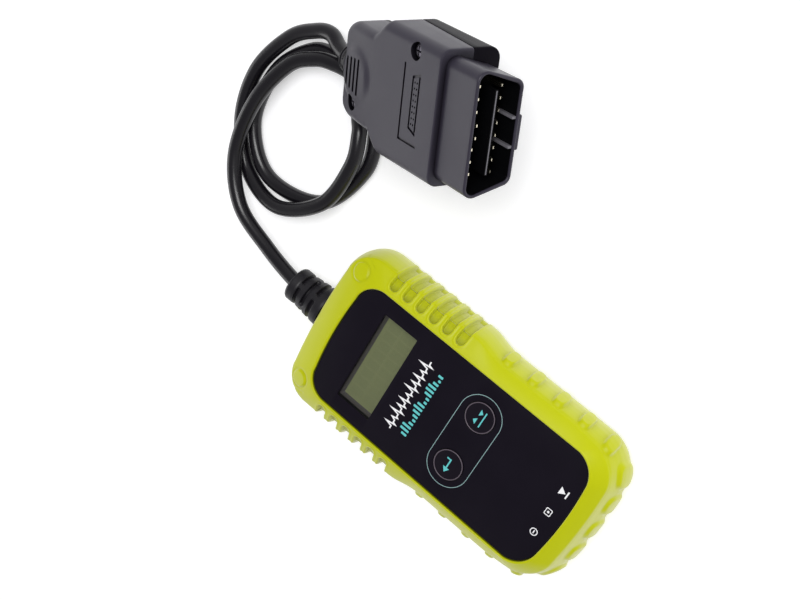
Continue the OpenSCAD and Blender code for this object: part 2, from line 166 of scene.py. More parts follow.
def plate(name, loops, z0, z1, material, bevel=0.1, place=None):
    """A flat plate between two heights from closed loops: the first is its edge, the rest are holes."""
    curve = bpy.data.curves.new(name, "CURVE")
    curve.dimensions = "2D"
    curve.fill_mode = "BOTH"
    curve.extrude = max((z1 - z0) / 2 - bevel, 0.0) * MM
    curve.bevel_depth = bevel * MM
    curve.bevel_resolution = 2
    curve.offset = -bevel * MM
    for loop in loops:
        spline = curve.splines.new("POLY")
        spline.points.add(len(loop) - 1)
        for point, (x, y) in zip(spline.points, loop):
            point.co = (x * MM, y * MM, 0, 1)
        spline.use_cyclic_u = True
    holder = bpy.data.objects.new(name, curve)
    bpy.context.scene.collection.objects.link(holder)
    depsgraph = bpy.context.evaluated_depsgraph_get()
    mesh = bpy.data.meshes.new_from_object(holder.evaluated_get(depsgraph))
    bpy.data.objects.remove(holder)
    mesh.transform(Matrix.Translation((0, 0, (z0 + z1) / 2 * MM)))
    if place is not None:
        mesh.transform(blender_matrix(place))
    obj = finish_mesh(name, mesh, material, smooth=False)
    return clean(obj)


def blender_matrix(place):
    """A numpy matrix in millimetres as a Blender matrix in metres."""
    m = Matrix(place.tolist())
    m.translation = m.translation * MM
    return m


def sharp_smooth(obj, angle=35.0):
    """Smooth shading that breaks at hard edges."""
    obj.data.set_sharp_from_angle(angle=math.radians(angle))


def settle(piece, body, node=None):
    """Fixes a finished piece to its body, and hides the CAD node it stands in for."""
    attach(piece, body)
    if node:
        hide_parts(node)


def cut(obj, cutters):
    """Subtracts closed cutters from a piece and removes them."""
    for cutter in cutters:
        boolean = obj.modifiers.new("cut", "BOOLEAN")
        boolean.operation = "DIFFERENCE"
        boolean.solver = "EXACT"
        boolean.object = cutter
        depsgraph = bpy.context.evaluated_depsgraph_get()
        mesh = bpy.data.meshes.new_from_object(obj.evaluated_get(depsgraph))
        obj.modifiers.remove(boolean)
        old = obj.data
        obj.data = mesh
        bpy.data.meshes.remove(old)
        bpy.data.objects.remove(cutter)
    return obj


def join(name, pieces):
    """Makes one object of several that share a material."""
    bm = bmesh.new()
    material = pieces[0].data.materials[0]
    for piece in pieces:
        bm.from_mesh(piece.data)
        bpy.data.objects.remove(piece)
    mesh = bpy.data.meshes.new(name)
    bm.to_mesh(mesh)
    bm.free()
    obj = bpy.data.objects.new(name, mesh)
    bpy.context.scene.collection.objects.link(obj)
    mesh.materials.append(material)
    return obj


def box_mesh(name, lo, hi, material, place=None):
    """A block between two corners, for joining, cutting or rounding."""
    x0, y0, z0 = lo
    x1, y1, z1 = hi
    points = np.array([[x, y, z] for z in (z0, z1) for y in (y0, y1) for x in (x0, x1)], float)
    if place is not None:
        points = transformed(points, place)
    faces = [(0, 2, 3, 1), (4, 5, 7, 6), (0, 1, 5, 4), (2, 6, 7, 3), (0, 4, 6, 2), (1, 3, 7, 5)]
    return mesh_from(name, points, faces, material, smooth=False)


def prism(name, loop, z0, z1, material, place=None):
    """A closed prism over a flat outline."""
    loop = np.asarray(loop, float)
    rings = np.array([at_height(loop, z) for z in (z0, z1)])
    if place is not None:
        rings = transformed(rings, place)
    return clean(loft(name, rings, material, caps=(True, True)))


def smoothstep(edge0, edge1, x):
    t = np.clip((x - edge0) / (edge1 - edge0), 0, 1)
    return t * t * (3 - 2 * t)


# =====================================================================
# Materials
# =====================================================================
def rgb(*srgb):
    """An sRGB colour of 0-255 as linear RGBA."""
    out = []
    for c in srgb:
        c = c / 255
        out.append(c / 12.92 if c <= 0.04045 else ((c + 0.055) / 1.055) ** 2.4)
    return (*out, 1.0)


def add_node(tree, kind, settings=None):
    """A shader node with some of its inputs set."""
    node = tree.nodes.new(kind)
    for name, value in (settings or {}).items():
        node.inputs[name].default_value = value
    return node


def colour_mix(tree, factor, first, second):
    """A blend of two colours, each a fixed value or a socket, by a socket's share."""
    node = tree.nodes.new("ShaderNodeMix")
    node.data_type = "RGBA"
    tree.links.new(factor, node.inputs["Factor"])
    for name, value in (("A", first), ("B", second)):
        if isinstance(value, tuple):
            node.inputs[name].default_value = value
        else:
            tree.links.new(value, node.inputs[name])
    return node.outputs["Result"]


def map_range(tree, source, **limits):
    """A value mapped from one range to another, with the limits named as from_min and so on."""
    settings = {name.replace("_", " ").title(): value for name, value in limits.items()}
    node = add_node(tree, "ShaderNodeMapRange", settings)
    tree.links.new(source, node.inputs["Value"])
    return node.outputs["Result"]


def finish(name, colour, rough, grain=2500.0, bump=0.08, vary=0.06, rough_vary=0.08, blotch=60.0,
           depth=0.05, metallic=0.0, coat=0.0, sub=0.0, spec=0.5, stretch=None, painted_sheen=None,
           painted_shade=None):
    """A material with fine moulded grain, slow colour variation and uneven roughness. The sheen is a
    second colour, and the share of it, that the surface turns to where it is seen at a slant: a painted
    reflection.
    The shade is a darker colour painted into corners and recesses, and how far from a wall it reaches, in
    millimetres."""
    material = bpy.data.materials.new(name)
    material.use_nodes = True
    tree = material.node_tree
    links = tree.links
    shader = tree.nodes["Principled BSDF"]
    where = tree.nodes.new("ShaderNodeTexCoord")
    source = where.outputs["Object"]
    if stretch:
        mapping = add_node(tree, "ShaderNodeMapping", {"Scale": stretch})
        links.new(source, mapping.inputs["Vector"])
        source = mapping.outputs["Vector"]
    slow = add_node(tree, "ShaderNodeTexNoise", {"Scale": blotch, "Detail": 4})
    links.new(where.outputs["Object"], slow.inputs["Vector"])
    fine = add_node(tree, "ShaderNodeTexNoise", {"Scale": grain, "Detail": 3})
    links.new(source, fine.inputs["Vector"])
    darker = tuple(c * (1 - vary) for c in colour[:3]) + (1,)
    lighter = tuple(min(c * (1 + vary), 1) for c in colour[:3]) + (1,)
    paint = colour_mix(tree, slow.outputs["Fac"], darker, lighter)
    openness = None
    # painted shade: the colour turns darker where ambient occlusion finds walls close by
    if painted_shade:
        hollow = add_node(tree, "ShaderNodeAmbientOcclusion", {"Distance": painted_shade[1] * MM})
        hollow.samples = 8
        openness = map_range(tree, hollow.outputs["AO"], from_min=0.35, from_max=0.92)
        paint = colour_mix(tree, openness, painted_shade[0], paint)
    # painted reflection: a pale colour is mixed in where the surface is seen at a slant, less of it in
    # corners
    if painted_sheen:
        facing = add_node(tree, "ShaderNodeLayerWeight", {"Blend": 0.5})
        amount = map_range(tree, facing.outputs["Facing"], from_min=0.30, from_max=0.95, to_max=painted_sheen[1])
        if openness:
            product = tree.nodes.new("ShaderNodeMath")
            product.operation = "MULTIPLY"
            links.new(amount, product.inputs[0])
            links.new(openness, product.inputs[1])
            amount = product.outputs["Value"]
        paint = colour_mix(tree, amount, paint, painted_sheen[0])
    links.new(paint, shader.inputs["Base Color"])
    spread = map_range(tree, slow.outputs["Fac"], to_min=max(rough - rough_vary, 0.02),
                       to_max=min(rough + rough_vary, 1))
    links.new(spread, shader.inputs["Roughness"])
    bumps = add_node(tree, "ShaderNodeBump", {"Strength": bump, "Distance": depth * MM})
    links.new(fine.outputs["Fac"], bumps.inputs["Height"])
    links.new(bumps.outputs["Normal"], shader.inputs["Normal"])
    surface = {"Metallic": metallic, "IOR": 1.5, "Specular IOR Level": spec, "Coat Weight": coat,
               "Coat Roughness": 0.15}
    if sub:
        surface.update({"Subsurface Weight": sub, "Subsurface Radius": (1.0, 0.9, 0.2),
                        "Subsurface Scale": 1.5 * MM})
    for key, value in surface.items():
        shader.inputs[key].default_value = value
    return material


def clear_finish(name, tint, rough):
    """Thin clear plastic that light passes straight through."""
    material = bpy.data.materials.new(name)
    material.use_nodes = True
    tree = material.node_tree
    links = tree.links
    tree.nodes.remove(tree.nodes["Principled BSDF"])
    gloss = add_node(tree, "ShaderNodeBsdfGlossy", {"Roughness": rough})
    clear = add_node(tree, "ShaderNodeBsdfTransparent", {"Color": tint})
    fresnel = add_node(tree, "ShaderNodeFresnel", {"IOR": 1.45})
    noise = add_node(tree, "ShaderNodeTexNoise", {"Scale": 300})
    bumps = add_node(tree, "ShaderNodeBump", {"Strength": 0.02, "Distance": 0.02 * MM})
    mix = tree.nodes.new("ShaderNodeMixShader")
    links.new(noise.outputs["Fac"], bumps.inputs["Height"])
    links.new(bumps.outputs["Normal"], gloss.inputs["Normal"])
    links.new(fresnel.outputs["Fac"], mix.inputs["Fac"])
    links.new(clear.outputs["BSDF"], mix.inputs[1])
    links.new(gloss.outputs["BSDF"], mix.inputs[2])
    links.new(mix.outputs["Shader"], tree.nodes["Material Output"].inputs["Surface"])
    return material


# the lime rubber's pale colour at a slant is a painted reflection, and its dark olive in the grip channels
# and round the pads is painted shade
LIME = finish("lime_rubber", rgb(189, 195, 2), 0.38, grain=1500, bump=0.12, vary=0.04, sub=0.08,
              blotch=35, rough_vary=0.08, depth=0.06, spec=0.20, painted_sheen=(rgb(226, 226, 180), 0.60),
              painted_shade=(rgb(120, 124, 0), 2.8))
SHELL_BLACK = finish("shell_black", rgb(30, 29, 33), 0.5, grain=3000, bump=0.2)
FILM_BLACK = finish("film_black", rgb(19, 15, 25), 0.42, grain=5200, bump=0.25, vary=0.2, depth=0.03,
                    spec=0.10)
PRINT_WHITE = finish("print_white", rgb(245, 245, 247), 0.55, vary=0.02)
PRINT_TEAL = finish("print_teal", rgb(96, 200, 200), 0.55, vary=0.04)
PRINT_LINE = finish("print_line", rgb(140, 172, 172), 0.5, vary=0.04)
KEY_RUBBER = finish("key_rubber", rgb(20, 15, 25), 0.40, grain=3500, bump=0.18, vary=0.12, spec=0.15)
# painted highlight: the light purple-grey of the key's thin ring stands in for the light it reflects
KEY_RING_HIGHLIGHT = finish("key_ring_painted_highlight", rgb(92, 82, 92), 0.34, grain=3500, bump=0.1, vary=0.08)
LCD_FACE = finish("lcd_face", rgb(142, 147, 108), 0.30, grain=900, bump=0.02, vary=0.05, blotch=25,
                  coat=0.3)
LCD_CELL = finish("lcd_cell", rgb(138, 143, 105), 0.32, grain=900, bump=0.02, vary=0.04)
LCD_EDGE = finish("lcd_edge", rgb(92, 86, 93), 0.45, grain=2500, bump=0.1, vary=0.08)
BOARD = finish("circuit_board", rgb(24, 92, 52), 0.38, grain=900, bump=0.12, vary=0.15)
CHIP = finish("chip_black", rgb(36, 36, 38), 0.55, grain=4000, bump=0.2)
TIN = finish("tin_plate", rgb(176, 178, 182), 0.28, metallic=1.0, grain=1500, stretch=(1, 12, 1), bump=0.1)
CAN = finish("capacitor", rgb(70, 76, 100), 0.3, grain=1500, bump=0.05)
STEM = finish("stem_plastic", rgb(214, 208, 194), 0.5)
NYLON = finish("nylon", rgb(222, 218, 206), 0.5)
WIRE = finish("wire", rgb(170, 40, 36), 0.4)
JACKET = finish("cable_jacket", rgb(19, 17, 22), 0.27, grain=1400, bump=0.16, vary=0.15, spec=0.45)
RELIEF = finish("relief_rubber", rgb(24, 22, 27), 0.42, grain=2200, bump=0.25, vary=0.1, spec=0.35)
STEEL = finish("screw_steel", rgb(120, 120, 124), 0.35, metallic=1.0, grain=2500, bump=0.15)
SCREW_DARK = finish("screw_dark", rgb(84, 81, 90), 0.34, metallic=0.9, grain=2500, bump=0.15)
LABEL = finish("label", rgb(206, 206, 200), 0.4, grain=1200, bump=0.05)
LABEL_INK = finish("label_ink", rgb(60, 60, 64), 0.5, grain=1200, bump=0.05)
# the near-black corner colour is painted shade in the plug body's corners, darkest on the flange round the
# shroud
PLUG_GREY = finish("plug_plastic", rgb(49, 46, 57), 0.38, grain=2600, bump=0.35, vary=0.07, depth=0.06,
                   spec=0.26, painted_shade=(rgb(4, 3, 7), 7.0))
# painted shade: the plug's lower half is a darker copy of the plug plastic that barely reflects
PLUG_UNDER_SHADE = finish("plug_under", rgb(19, 17, 22), 0.25, grain=2600, bump=0.2, vary=0.07, spec=0.02)
# the near-black corner colour is painted shade at the shroud's root and in its corners
SHROUD = finish("shroud_plastic", rgb(49, 46, 57), 0.36, grain=2600, bump=0.28, vary=0.06, depth=0.05,
                spec=0.26, painted_shade=(rgb(8, 7, 12), 3.0))
# painted highlight: light grey for the ribs and a strip along the blade's front edge, where their edges catch
# the light
RIB_HIGHLIGHT_GREY = finish("rib_painted_highlight", rgb(104, 102, 108), 0.4, grain=2600, bump=0.2, vary=0.06)
# painted shade: a near-black copy of the plug plastic for the inside of the mouth, its floor and the blade
MOUTH_SHADE_BLACK = finish("mouth_painted_shade", rgb(6, 6, 8), 0.5, grain=2600, bump=0.2, vary=0.1, spec=0.12)
CONTACT = finish("contact_metal", rgb(240, 232, 208), 0.25, metallic=1.0, grain=1800, bump=0.08)
CLEAR = clear_finish("clear_window", (0.92, 0.93, 0.9, 1), 0.04)


# =====================================================================
# Reader outlines
# =====================================================================
# where the sides step from the lower half-width to the grip half-width
WAIST = (-5.5, 7.0)


def half_loop(grip, lower, top, bottom, r_top, r_bottom, bow, counts):
    """Right half of a rounded outline from the bottom end to the top end. Both ends bow outwards
    and the sides step smoothly from the lower half-width to the grip half-width at the waist."""
    n_bow, n_corner, n_side = counts
    x_low = lower - r_bottom
    x_top = grip - r_top
    t = np.linspace(0, 1, n_bow, endpoint=False)
    low = np.stack([x_low * t, bottom + bow * (x_low * t / lower) ** 2], axis=1)
    y_low = bottom + bow * (x_low / lower) ** 2
    slope_low = math.atan(2 * bow * x_low / lower ** 2)
    a = np.linspace(-math.pi / 2 + slope_low, 0, n_corner, endpoint=False)
    r = r_bottom
    cx = lower - r
    cy = y_low + r * math.cos(slope_low)
    corner_low = np.stack([cx + r * np.cos(a), cy + r * np.sin(a)], axis=1)
    corner_low[:, 0] += (x_low - corner_low[0, 0]) * np.linspace(1, 0, n_corner)
    y_top = top - bow * (x_top / grip) ** 2
    slope_top = math.atan(2 * bow * x_top / grip ** 2)
    cy_top = y_top - r_top * math.cos(slope_top)
    t = np.linspace(0, 1, n_side, endpoint=False)
    y = cy + (cy_top - cy) * t
    x = lower + (grip - lower) * smoothstep(*WAIST, y)
    side = np.stack([x, y], axis=1)
    a = np.linspace(0, math.pi / 2 - slope_top, n_corner, endpoint=False)
    corner_top = np.stack([grip - r_top + r_top * np.cos(a), cy_top + r_top * np.sin(a)], axis=1)
    t = np.linspace(1, 0, n_bow, endpoint=True)
    high = np.stack([x_top * t, top - bow * (x_top * t / grip) ** 2], axis=1)
    return np.concatenate([low, corner_low, side, corner_top, high])


def full_loop(half):
    """Both halves as one closed loop, anticlockwise."""
    other = half[-2:0:-1] * np.array([-1, 1])
    return np.concatenate([half, other])


def loop_normals(loop):
    """Outward unit normals of an anticlockwise loop."""
    tangent = np.roll(loop, -1, axis=0) - np.roll(loop, 1, axis=0)
    tangent /= np.linalg.norm(tangent, axis=1)[:, None]
    return np.stack([tangent[:, 1], -tangent[:, 0]], axis=1)


def inset(loop, d):
    return loop - loop_normals(loop) * d


# points along a half bow, a corner and a side: for the boot, and for the parts inside it
COUNTS = (36, 44, 460)
SMALL = (12, 16, 60)
BOOT_TOP_ROUND, BOOT_LOW_ROUND, BOOT_BOW = 13.0, 15.0, 2.6
PANEL_HALF, PANEL_TOP, PANEL_LOW = 25.4, 52.8, -54.4
PANEL_ROUND, PANEL_BOW = 9.0, 2.4


def boot_loop(counts=COUNTS):
    half = READER_LEN / 2
    return full_loop(half_loop(GRIP_HALF, LOWER_HALF, half, -half, BOOT_TOP_ROUND, BOOT_LOW_ROUND,
                               BOOT_BOW, counts))


def panel_loop(counts=COUNTS):
    return full_loop(half_loop(PANEL_HALF, PANEL_HALF, PANEL_TOP, PANEL_LOW, PANEL_ROUND, PANEL_ROUND,
                               PANEL_BOW, counts))


# =====================================================================
# Rubber boot
# =====================================================================
GROOVE_Y = [11.0 + 6.2 * i for i in range(6)]
SIDE_NUB_Y = [-6.3 - 11.2 * i for i in range(5)]
END_NUB_X = [-23.2, -11.7, 0.0, 11.7, 23.2]
RIDGE_Z = 19.3
# grip channels: inner end, edges, depth, further depth on the side, and the bead along them
CHANNEL_X, CHANNEL_EDGE, CHANNEL_DEEP, CHANNEL_SIDE = 29.7, (1.9, 1.58), 1.75, 0.3
BEAD_HIGH, BEAD_AT, BEAD_WIDE = 0.14, 2.35, 0.36
# pads: half length, half height, middle height, and how far they stand out
SIDE_PAD = (2.5, 5.2, 12.9, 1.45)
END_PAD = (4.3, 5.2, 9.6, 0.95)
# a round disc at each top corner: place, height and the moat round it
DISC_X, DISC_Y, DISC_HIGH, DISC_R = 25.6, 56.0, 0.4, 3.45
MOAT_DEEP, MOAT_R, MOAT_WIDE = 0.18, 3.75, 0.3
CREASE_X, CREASE_DEEP, CREASE_WIDE = 30.1, 0.16, 0.35
# the lip over the panel: how far it laps past the panel's edge, its rounding and its top
LIP_LAP, LIP_ROUND, LIP_Z = 0.18, 0.6, 22.2
# the first rings of the boot's skin make the lip, and carry no relief
LIP_ROWS = 9
# how far the boot's side lies inside its widest outline, against height
SIDE_Z = [0.0, 0.12, 0.5, 1.2, 2.4, 4.0, 6.0, 8.5, 11.5, 14.0, 16.5, 18.3, 19.3]
SIDE_IN = [7.0, 5.2, 3.9, 2.9, 1.95, 1.1, 0.4, 0.05, 0.0, 0.3, 0.8, 1.3, 1.9]


def side_inset(z):
    """The boot's side profile, smoothed between its stations."""
    z = np.asarray(z, float)
    total = 0
    for shift in (-0.6, -0.3, 0.0, 0.3, 0.6):
        total = total + np.interp(z + shift * smoothstep(0.3, 2.0, z), SIDE_Z, SIDE_IN)
    return total / 5


def boot_ring(outer, z, extra=0.0):
    """The boot's outer surface at a height, drawn in by a further distance."""
    low_end = smoothstep(-35, -62, outer[:, 1])
    draft = 2.3 * low_end * smoothstep(3.0, 19.0, z)
    return at_height(outer - loop_normals(outer) * (side_inset(z) + draft + extra)[:, None], z)


def bell(distance, width):
    """A smooth hump that is 1 where the distance is 0."""
    return np.exp(-(distance / width) ** 2)


def pad_shape(along, z, pad):
    """A point's distance from a pad's middle as a share: 1 on its rounded outline, less inside."""
    half_long, half_high, middle = pad[:3]
    return (np.abs(along / half_long) ** 3 + np.abs((z - middle) / half_high) ** 3) ** (1 / 3)


def boot_relief(points):
    """Height that each point of the boot moves outwards: grip channels in, pads and discs out."""
    x = np.abs(points[:, 0])
    y = points[:, 1]
    z = points[:, 2]
    move = np.zeros(len(points))
    lower_fade = smoothstep(1.5, 4.5, z)
    for gy in GROOVE_Y:
        across = np.where(x < CHANNEL_X, np.hypot(x - CHANNEL_X, y - gy), np.abs(y - gy))
        channel = smoothstep(*CHANNEL_EDGE, across) * lower_fade
        move -= channel * (CHANNEL_DEEP + CHANNEL_SIDE * smoothstep(30, 33, x))
        move += BEAD_HIGH * bell(across - BEAD_AT, BEAD_WIDE) * lower_fade * (x > 26.2)
    for ny in SIDE_NUB_Y:
        rise = smoothstep(1.07, 0.72, pad_shape(y - ny, z, SIDE_PAD))
        move += SIDE_PAD[3] * rise * (x > 27) * smoothstep(-58.5, -56.5, y)
    for nx in END_NUB_X:
        move += END_PAD[3] * smoothstep(1.1, 0.72, pad_shape(points[:, 0] - nx, z, END_PAD)) * (y < -50)
    d = np.hypot(x - DISC_X, y - DISC_Y)
    on_top = (z > 17) * (y > 40)
    disc = DISC_HIGH * smoothstep(DISC_R, 3.1, d) - MOAT_DEEP * bell(d - MOAT_R, MOAT_WIDE)
    move += disc * on_top
    crease = np.abs(x - CREASE_X - 0.35 * (y - 53)) * smoothstep(50, 52, y) + 9 * smoothstep(52, 50, y)
    move -= CREASE_DEEP * bell(crease, CREASE_WIDE) * smoothstep(58.5, 57, y) * on_top
    return move


def flat_ring(loop, d, z):
    """An outline drawn in by d, at a height."""
    return at_height(inset(loop, d), z)


def make_boot():
    """The boot's skin: lip, top band, rounded ridge, side and the rim round its open back."""
    outer = boot_loop()
    panel = panel_loop()
    rings = []
    for z in (19.5, 20.6, 21.7, LIP_Z):
        rings.append(flat_ring(panel, -LIP_LAP, z))
    for a in np.radians(np.linspace(0, 90, 5)):
        d = -LIP_LAP - LIP_ROUND * (1 - math.cos(a))
        rings.append(flat_ring(panel, d, LIP_Z + LIP_ROUND * math.sin(a)))
    lip = rings[-1]
    ridge = boot_ring(outer, RIDGE_Z)
    for t in np.linspace(0, 1, 30)[1:-2]:
        row = lip * (1 - t) + ridge * t
        row[:, 2] = lip[0, 2] + (RIDGE_Z - lip[0, 2]) * (0.80 * t + 0.20 * t ** 2.2)
        rings.append(row)
    corner = (ridge + rings[-1]) / 2
    corner[:, 2] -= 0.02
    rings.append(corner)
    rings.append(boot_ring(outer, RIDGE_Z - 0.25, -0.05))
    for z in np.linspace(RIDGE_Z - 0.6, 4.0, 42):
        rings.append(boot_ring(outer, z))
    for z in (3.4, 2.8, 2.2, 1.7, 1.2, 0.8, 0.5, 0.25, 0.1, 0.03):
        rings.append(boot_ring(outer, z))
    for d, z in ((7.6, 0.0), (8.2, 0.0), (8.6, 0.05), (8.85, 0.25), (8.95, 0.6), (8.95, 1.15)):
        rings.append(flat_ring(outer, d, z))
    rings = np.array(rings)
    du = np.roll(rings, -1, axis=1) - np.roll(rings, 1, axis=1)
    dv = np.gradient(rings, axis=0)
    normal = np.cross(dv, du)
    normal /= np.maximum(np.linalg.norm(normal, axis=2), 1e-9)[:, :, None]
    if (normal * (rings - rings.mean(axis=(0, 1)))).sum() < 0:
        normal = -normal
    move = boot_relief(rings.reshape(-1, 3)).reshape(rings.shape[:2])
    move[:LIP_ROWS] = 0
    rings = rings + normal * move[:, :, None]
    settle(clean(loft("boot_skin", rings, LIME)), "reader", "rubber_boot")


# =====================================================================
# Hard shells inside the boot
# =====================================================================
def tray(name, rings):
    """A tray: rings down its inner skin, round its edge and up its outer skin, each end a flat."""
    return clean(loft(name, rings, SHELL_BLACK, caps=(True, True)))


def make_front_shell():
    """The upper shell: a flange under the boot and a raised plate that carries the panel film."""
    outer = boot_loop(SMALL)
    panel = panel_loop(SMALL)
    rings = [flat_ring(panel, 2.1, z) for z in (19.8, 16.6)]
    for z, wall in ((15.2, 4.9), (11.6, 4.3), (11.6, 2.3), (14.0, 2.3), (16.4, 2.3), (16.9, 2.9)):
        rings.append(boot_ring(outer, z, wall))
    rings += [flat_ring(panel, d, z) for d, z in ((0.1, 17.3), (0.1, 21.68), (0.2, 21.8))]
    shell = tray("front_shell_skin", rings)
    holes = []
    for half_w, half_h, low, high in ((19.3, 7.9, 15, 20.4), (20.5, 9, 20.3, 23)):
        holes.append(box_mesh("cutter", (-half_w, WINDOW_Y - half_h, low), (half_w, WINDOW_Y + half_h, high),
                              SHELL_BLACK))
    for x in (-KEY_X, KEY_X):
        holes.append(prism("cutter", circle(x, KEY_Y, KEY_R + 0.1), 15, 23, SHELL_BLACK))
    cut(shell, holes)
    sharp_smooth(shell)
    settle(shell, "reader", "front_shell")


BACK_SCREWS = [(21.5, 49.5), (-21.5, 49.5), (19.5, -50.0), (-19.5, -50.0)]
VENT_Y = (38.0, -42.0)
LABEL_Y, LABEL_W, LABEL_H = -2, 36.0, 56.0
ROW_X, ROW_Y, ROW_PITCH, ROW_LONG, ROW_WIDE = -14, 18.5, 4.6, 28, 0.9


def make_rear_shell():
    """The back shell: a tray with a raised flat that fills the boot's back opening."""
    outer = boot_loop(SMALL)
    rings = [flat_ring(outer, 7.4, 3.2)]
    for z, wall in ((3.6, 4.6), (6.0, 4.3), (11.5, 4.3), (11.5, 2.3), (8.0, 2.3), (5.0, 2.3),
                    (3.0, 2.4), (1.9, 3.2)):
        rings.append(boot_ring(outer, z, wall))
    rings += [flat_ring(outer, d, z) for d, z in ((7.4, 1.3), (9.15, 1.25), (9.15, 0.2), (9.3, 0.03))]
    shell = tray("rear_shell_skin", rings)
    holes = [prism("cutter", rounded_rect(0, LABEL_Y, LABEL_W, LABEL_H, 1.2), -1, 0.25, SHELL_BLACK)]
    for x, y in BACK_SCREWS:
        holes.append(prism("cutter", circle(x, y, 2.9, 48), -1, 2.8, SHELL_BLACK))
    for k in range(7):
        for y in VENT_Y:
            vent = rounded_rect(3 * k - 9, y, 1.1, 7.0, 0.5, 5)
            holes.append(prism("cutter", vent, -1, 0.8, SHELL_BLACK))
    cut(shell, holes)
    sharp_smooth(shell)
    settle(shell, "reader", "rear_shell")


def make_label_print():
    """Generic ruled rows and a block of bars on the back label; it carries no words."""
    shapes = []
    for k in range(6):
        long = ROW_LONG - 3.1 * (k % 3)
        shapes.append([slanted(ROW_X, ROW_Y - ROW_PITCH * k, long, ROW_WIDE, 0)])
    x = -13.5
    for k in range(18):
        w = (0.5, 1.0, 0.5, 1.5)[k % 4]
        shapes.append([slanted(x, -26, w, 7, 0)])
        x += w + 0.6
    pieces = [plate("label_print", loops, -0.02, 0.01, LABEL_INK, bevel=0.005) for loops in shapes]
    settle(join("label_print", pieces), "reader")


# =====================================================================
# Front panel, window and keys
# =====================================================================
def circle(cx, cy, r, n=72):
    a = full_turn(n)
    return np.stack([cx + r * np.cos(a), cy + r * np.sin(a)], axis=1)


def rounded_rect(cx, cy, w, h, r, n=8):
    """A rectangle with rounded corners."""
    out = []
    for sx, sy, a0 in ((1, -1, -90), (1, 1, 0), (-1, 1, 90), (-1, -1, 180)):
        for k in range(n + 1):
            a = math.radians(a0 + 90 * k / n)
            out.append((cx + sx * (w / 2 - r) + r * math.cos(a), cy + sy * (h / 2 - r) + r * math.sin(a)))
    return np.array(out)


def stadium(cx, cy, half_gap, r):
    """The outline round two circles."""
    a = np.radians(np.linspace(-90, 90, 40))
    right = np.stack([cx + half_gap + r * np.cos(a), cy + r * np.sin(a)], axis=1)
    a = np.radians(np.linspace(90, 270, 40))
    left = np.stack([cx - half_gap + r * np.cos(a), cy + r * np.sin(a)], axis=1)
    return np.concatenate([right, left])


def slanted(x, y, w, h, lean=0.22):
    """A leaning bar with its lower left corner at x, y."""
    return np.array([(x, y), (x + w, y), (x + w + lean * h, y + h), (x + lean * h, y + h)])


def make_panel():
    """The panel's film, with openings for the window and both keys."""
    loops = [inset(panel_loop(SMALL), 0.3),
             rounded_rect(0, WINDOW_Y, WINDOW_W, WINDOW_H, WINDOW_ROUND)]
    for s in (-1, 1):
        loops.append(circle(s * KEY_X, KEY_Y, KEY_R + 0.25))
    film = plate("panel_film", loops, FILM_LOW_Z, FILM_Z, FILM_BLACK, bevel=0.12)
    sharp_smooth(film)
    settle(film, "reader", "front_overlay")


def ink(name, shapes, material, z=None):
    """Printed shapes: flat plates a few hundredths of a millimetre thick on the panel."""
    base = FILM_Z if z is None else z
    pieces = [plate(name, loops, base, base + 0.05, material, bevel=0.01) for loops in shapes]
    return join(name, pieces)


def framed(loop, stroke):
    """A closed outline and the same outline drawn in, as a shape with a hole."""
    return [loop, inset(np.asarray(loop, float), stroke)]


def pulse(points, stroke):
    """A line of constant width along a zigzag of points."""
    points = np.asarray(points, float)
    step = np.diff(points, axis=0)
    normal = np.stack([-step[:, 1], step[:, 0]], axis=1) / np.linalg.norm(step, axis=1)[:, None]
    joint = np.vstack([normal[:1], normal[:-1] + normal[1:], normal[-1:]])
    weight = np.concatenate([[1], np.full(len(step) - 1, 2.0), [1]])
    joint /= (joint ** 2).sum(axis=1)[:, None] / weight[:, None]
    return np.vstack([points - joint * stroke / 2, (points + joint * stroke / 2)[::-1]])


TRACE_Y, BARS_Y = 15.3, 8.4


def make_print():
    """Printed marks: a trace of pulses, a row of level bars, the outline round the keys, three icons."""
    trace = [(-15.6, TRACE_Y)]
    for k in range(11):
        x = -14.4 + 2.75 * k
        high = (2.6, 1.5, 3.1, 2.1)[k % 4]
        trace += [(x, TRACE_Y), (x + 0.62, TRACE_Y + high), (x + 1.3, TRACE_Y - 0.42 * high),
                  (x + 1.75, TRACE_Y)]
    trace.append((16.2, TRACE_Y))
    white = [[pulse(trace, 0.55)]]
    teal = []
    for k in range(17):
        tall = 1.1 + 1.3 * (1 + math.sin(1.15 * k)) + 0.25 * (k % 3)
        teal.append([rounded_rect(-13.6 + 1.72 * k, BARS_Y + tall / 2, 0.95, tall, 0.25, 3)])
    outline = [[stadium(0, KEY_Y, KEY_X, 8.6), stadium(0, KEY_Y, KEY_X, 8.36)]]
    marks = [[circle(-9.5, -48.5, 1.5, 40), circle(-9.5, -48.5, 1.15, 40)],
             [slanted(-10.2, -48.7, 1.4, 0.4, 0)],
             framed(rounded_rect(0.2, -48.5, 2.9, 2.6, 0.5), 0.33), [circle(0.2, -48.5, 0.45, 20)],
             [[(8.2, -47.2), (11.4, -47.2), (9.8, -49.6)]], [slanted(8.3, -50.6, 3.0, 0.55, 0)]]
    for name, shapes, material in (("print_white", white + marks, PRINT_WHITE),
                                   ("print_teal", teal, PRINT_TEAL),
                                   ("print_outline", outline, PRINT_LINE)):
        settle(ink(name, shapes, material), "reader")


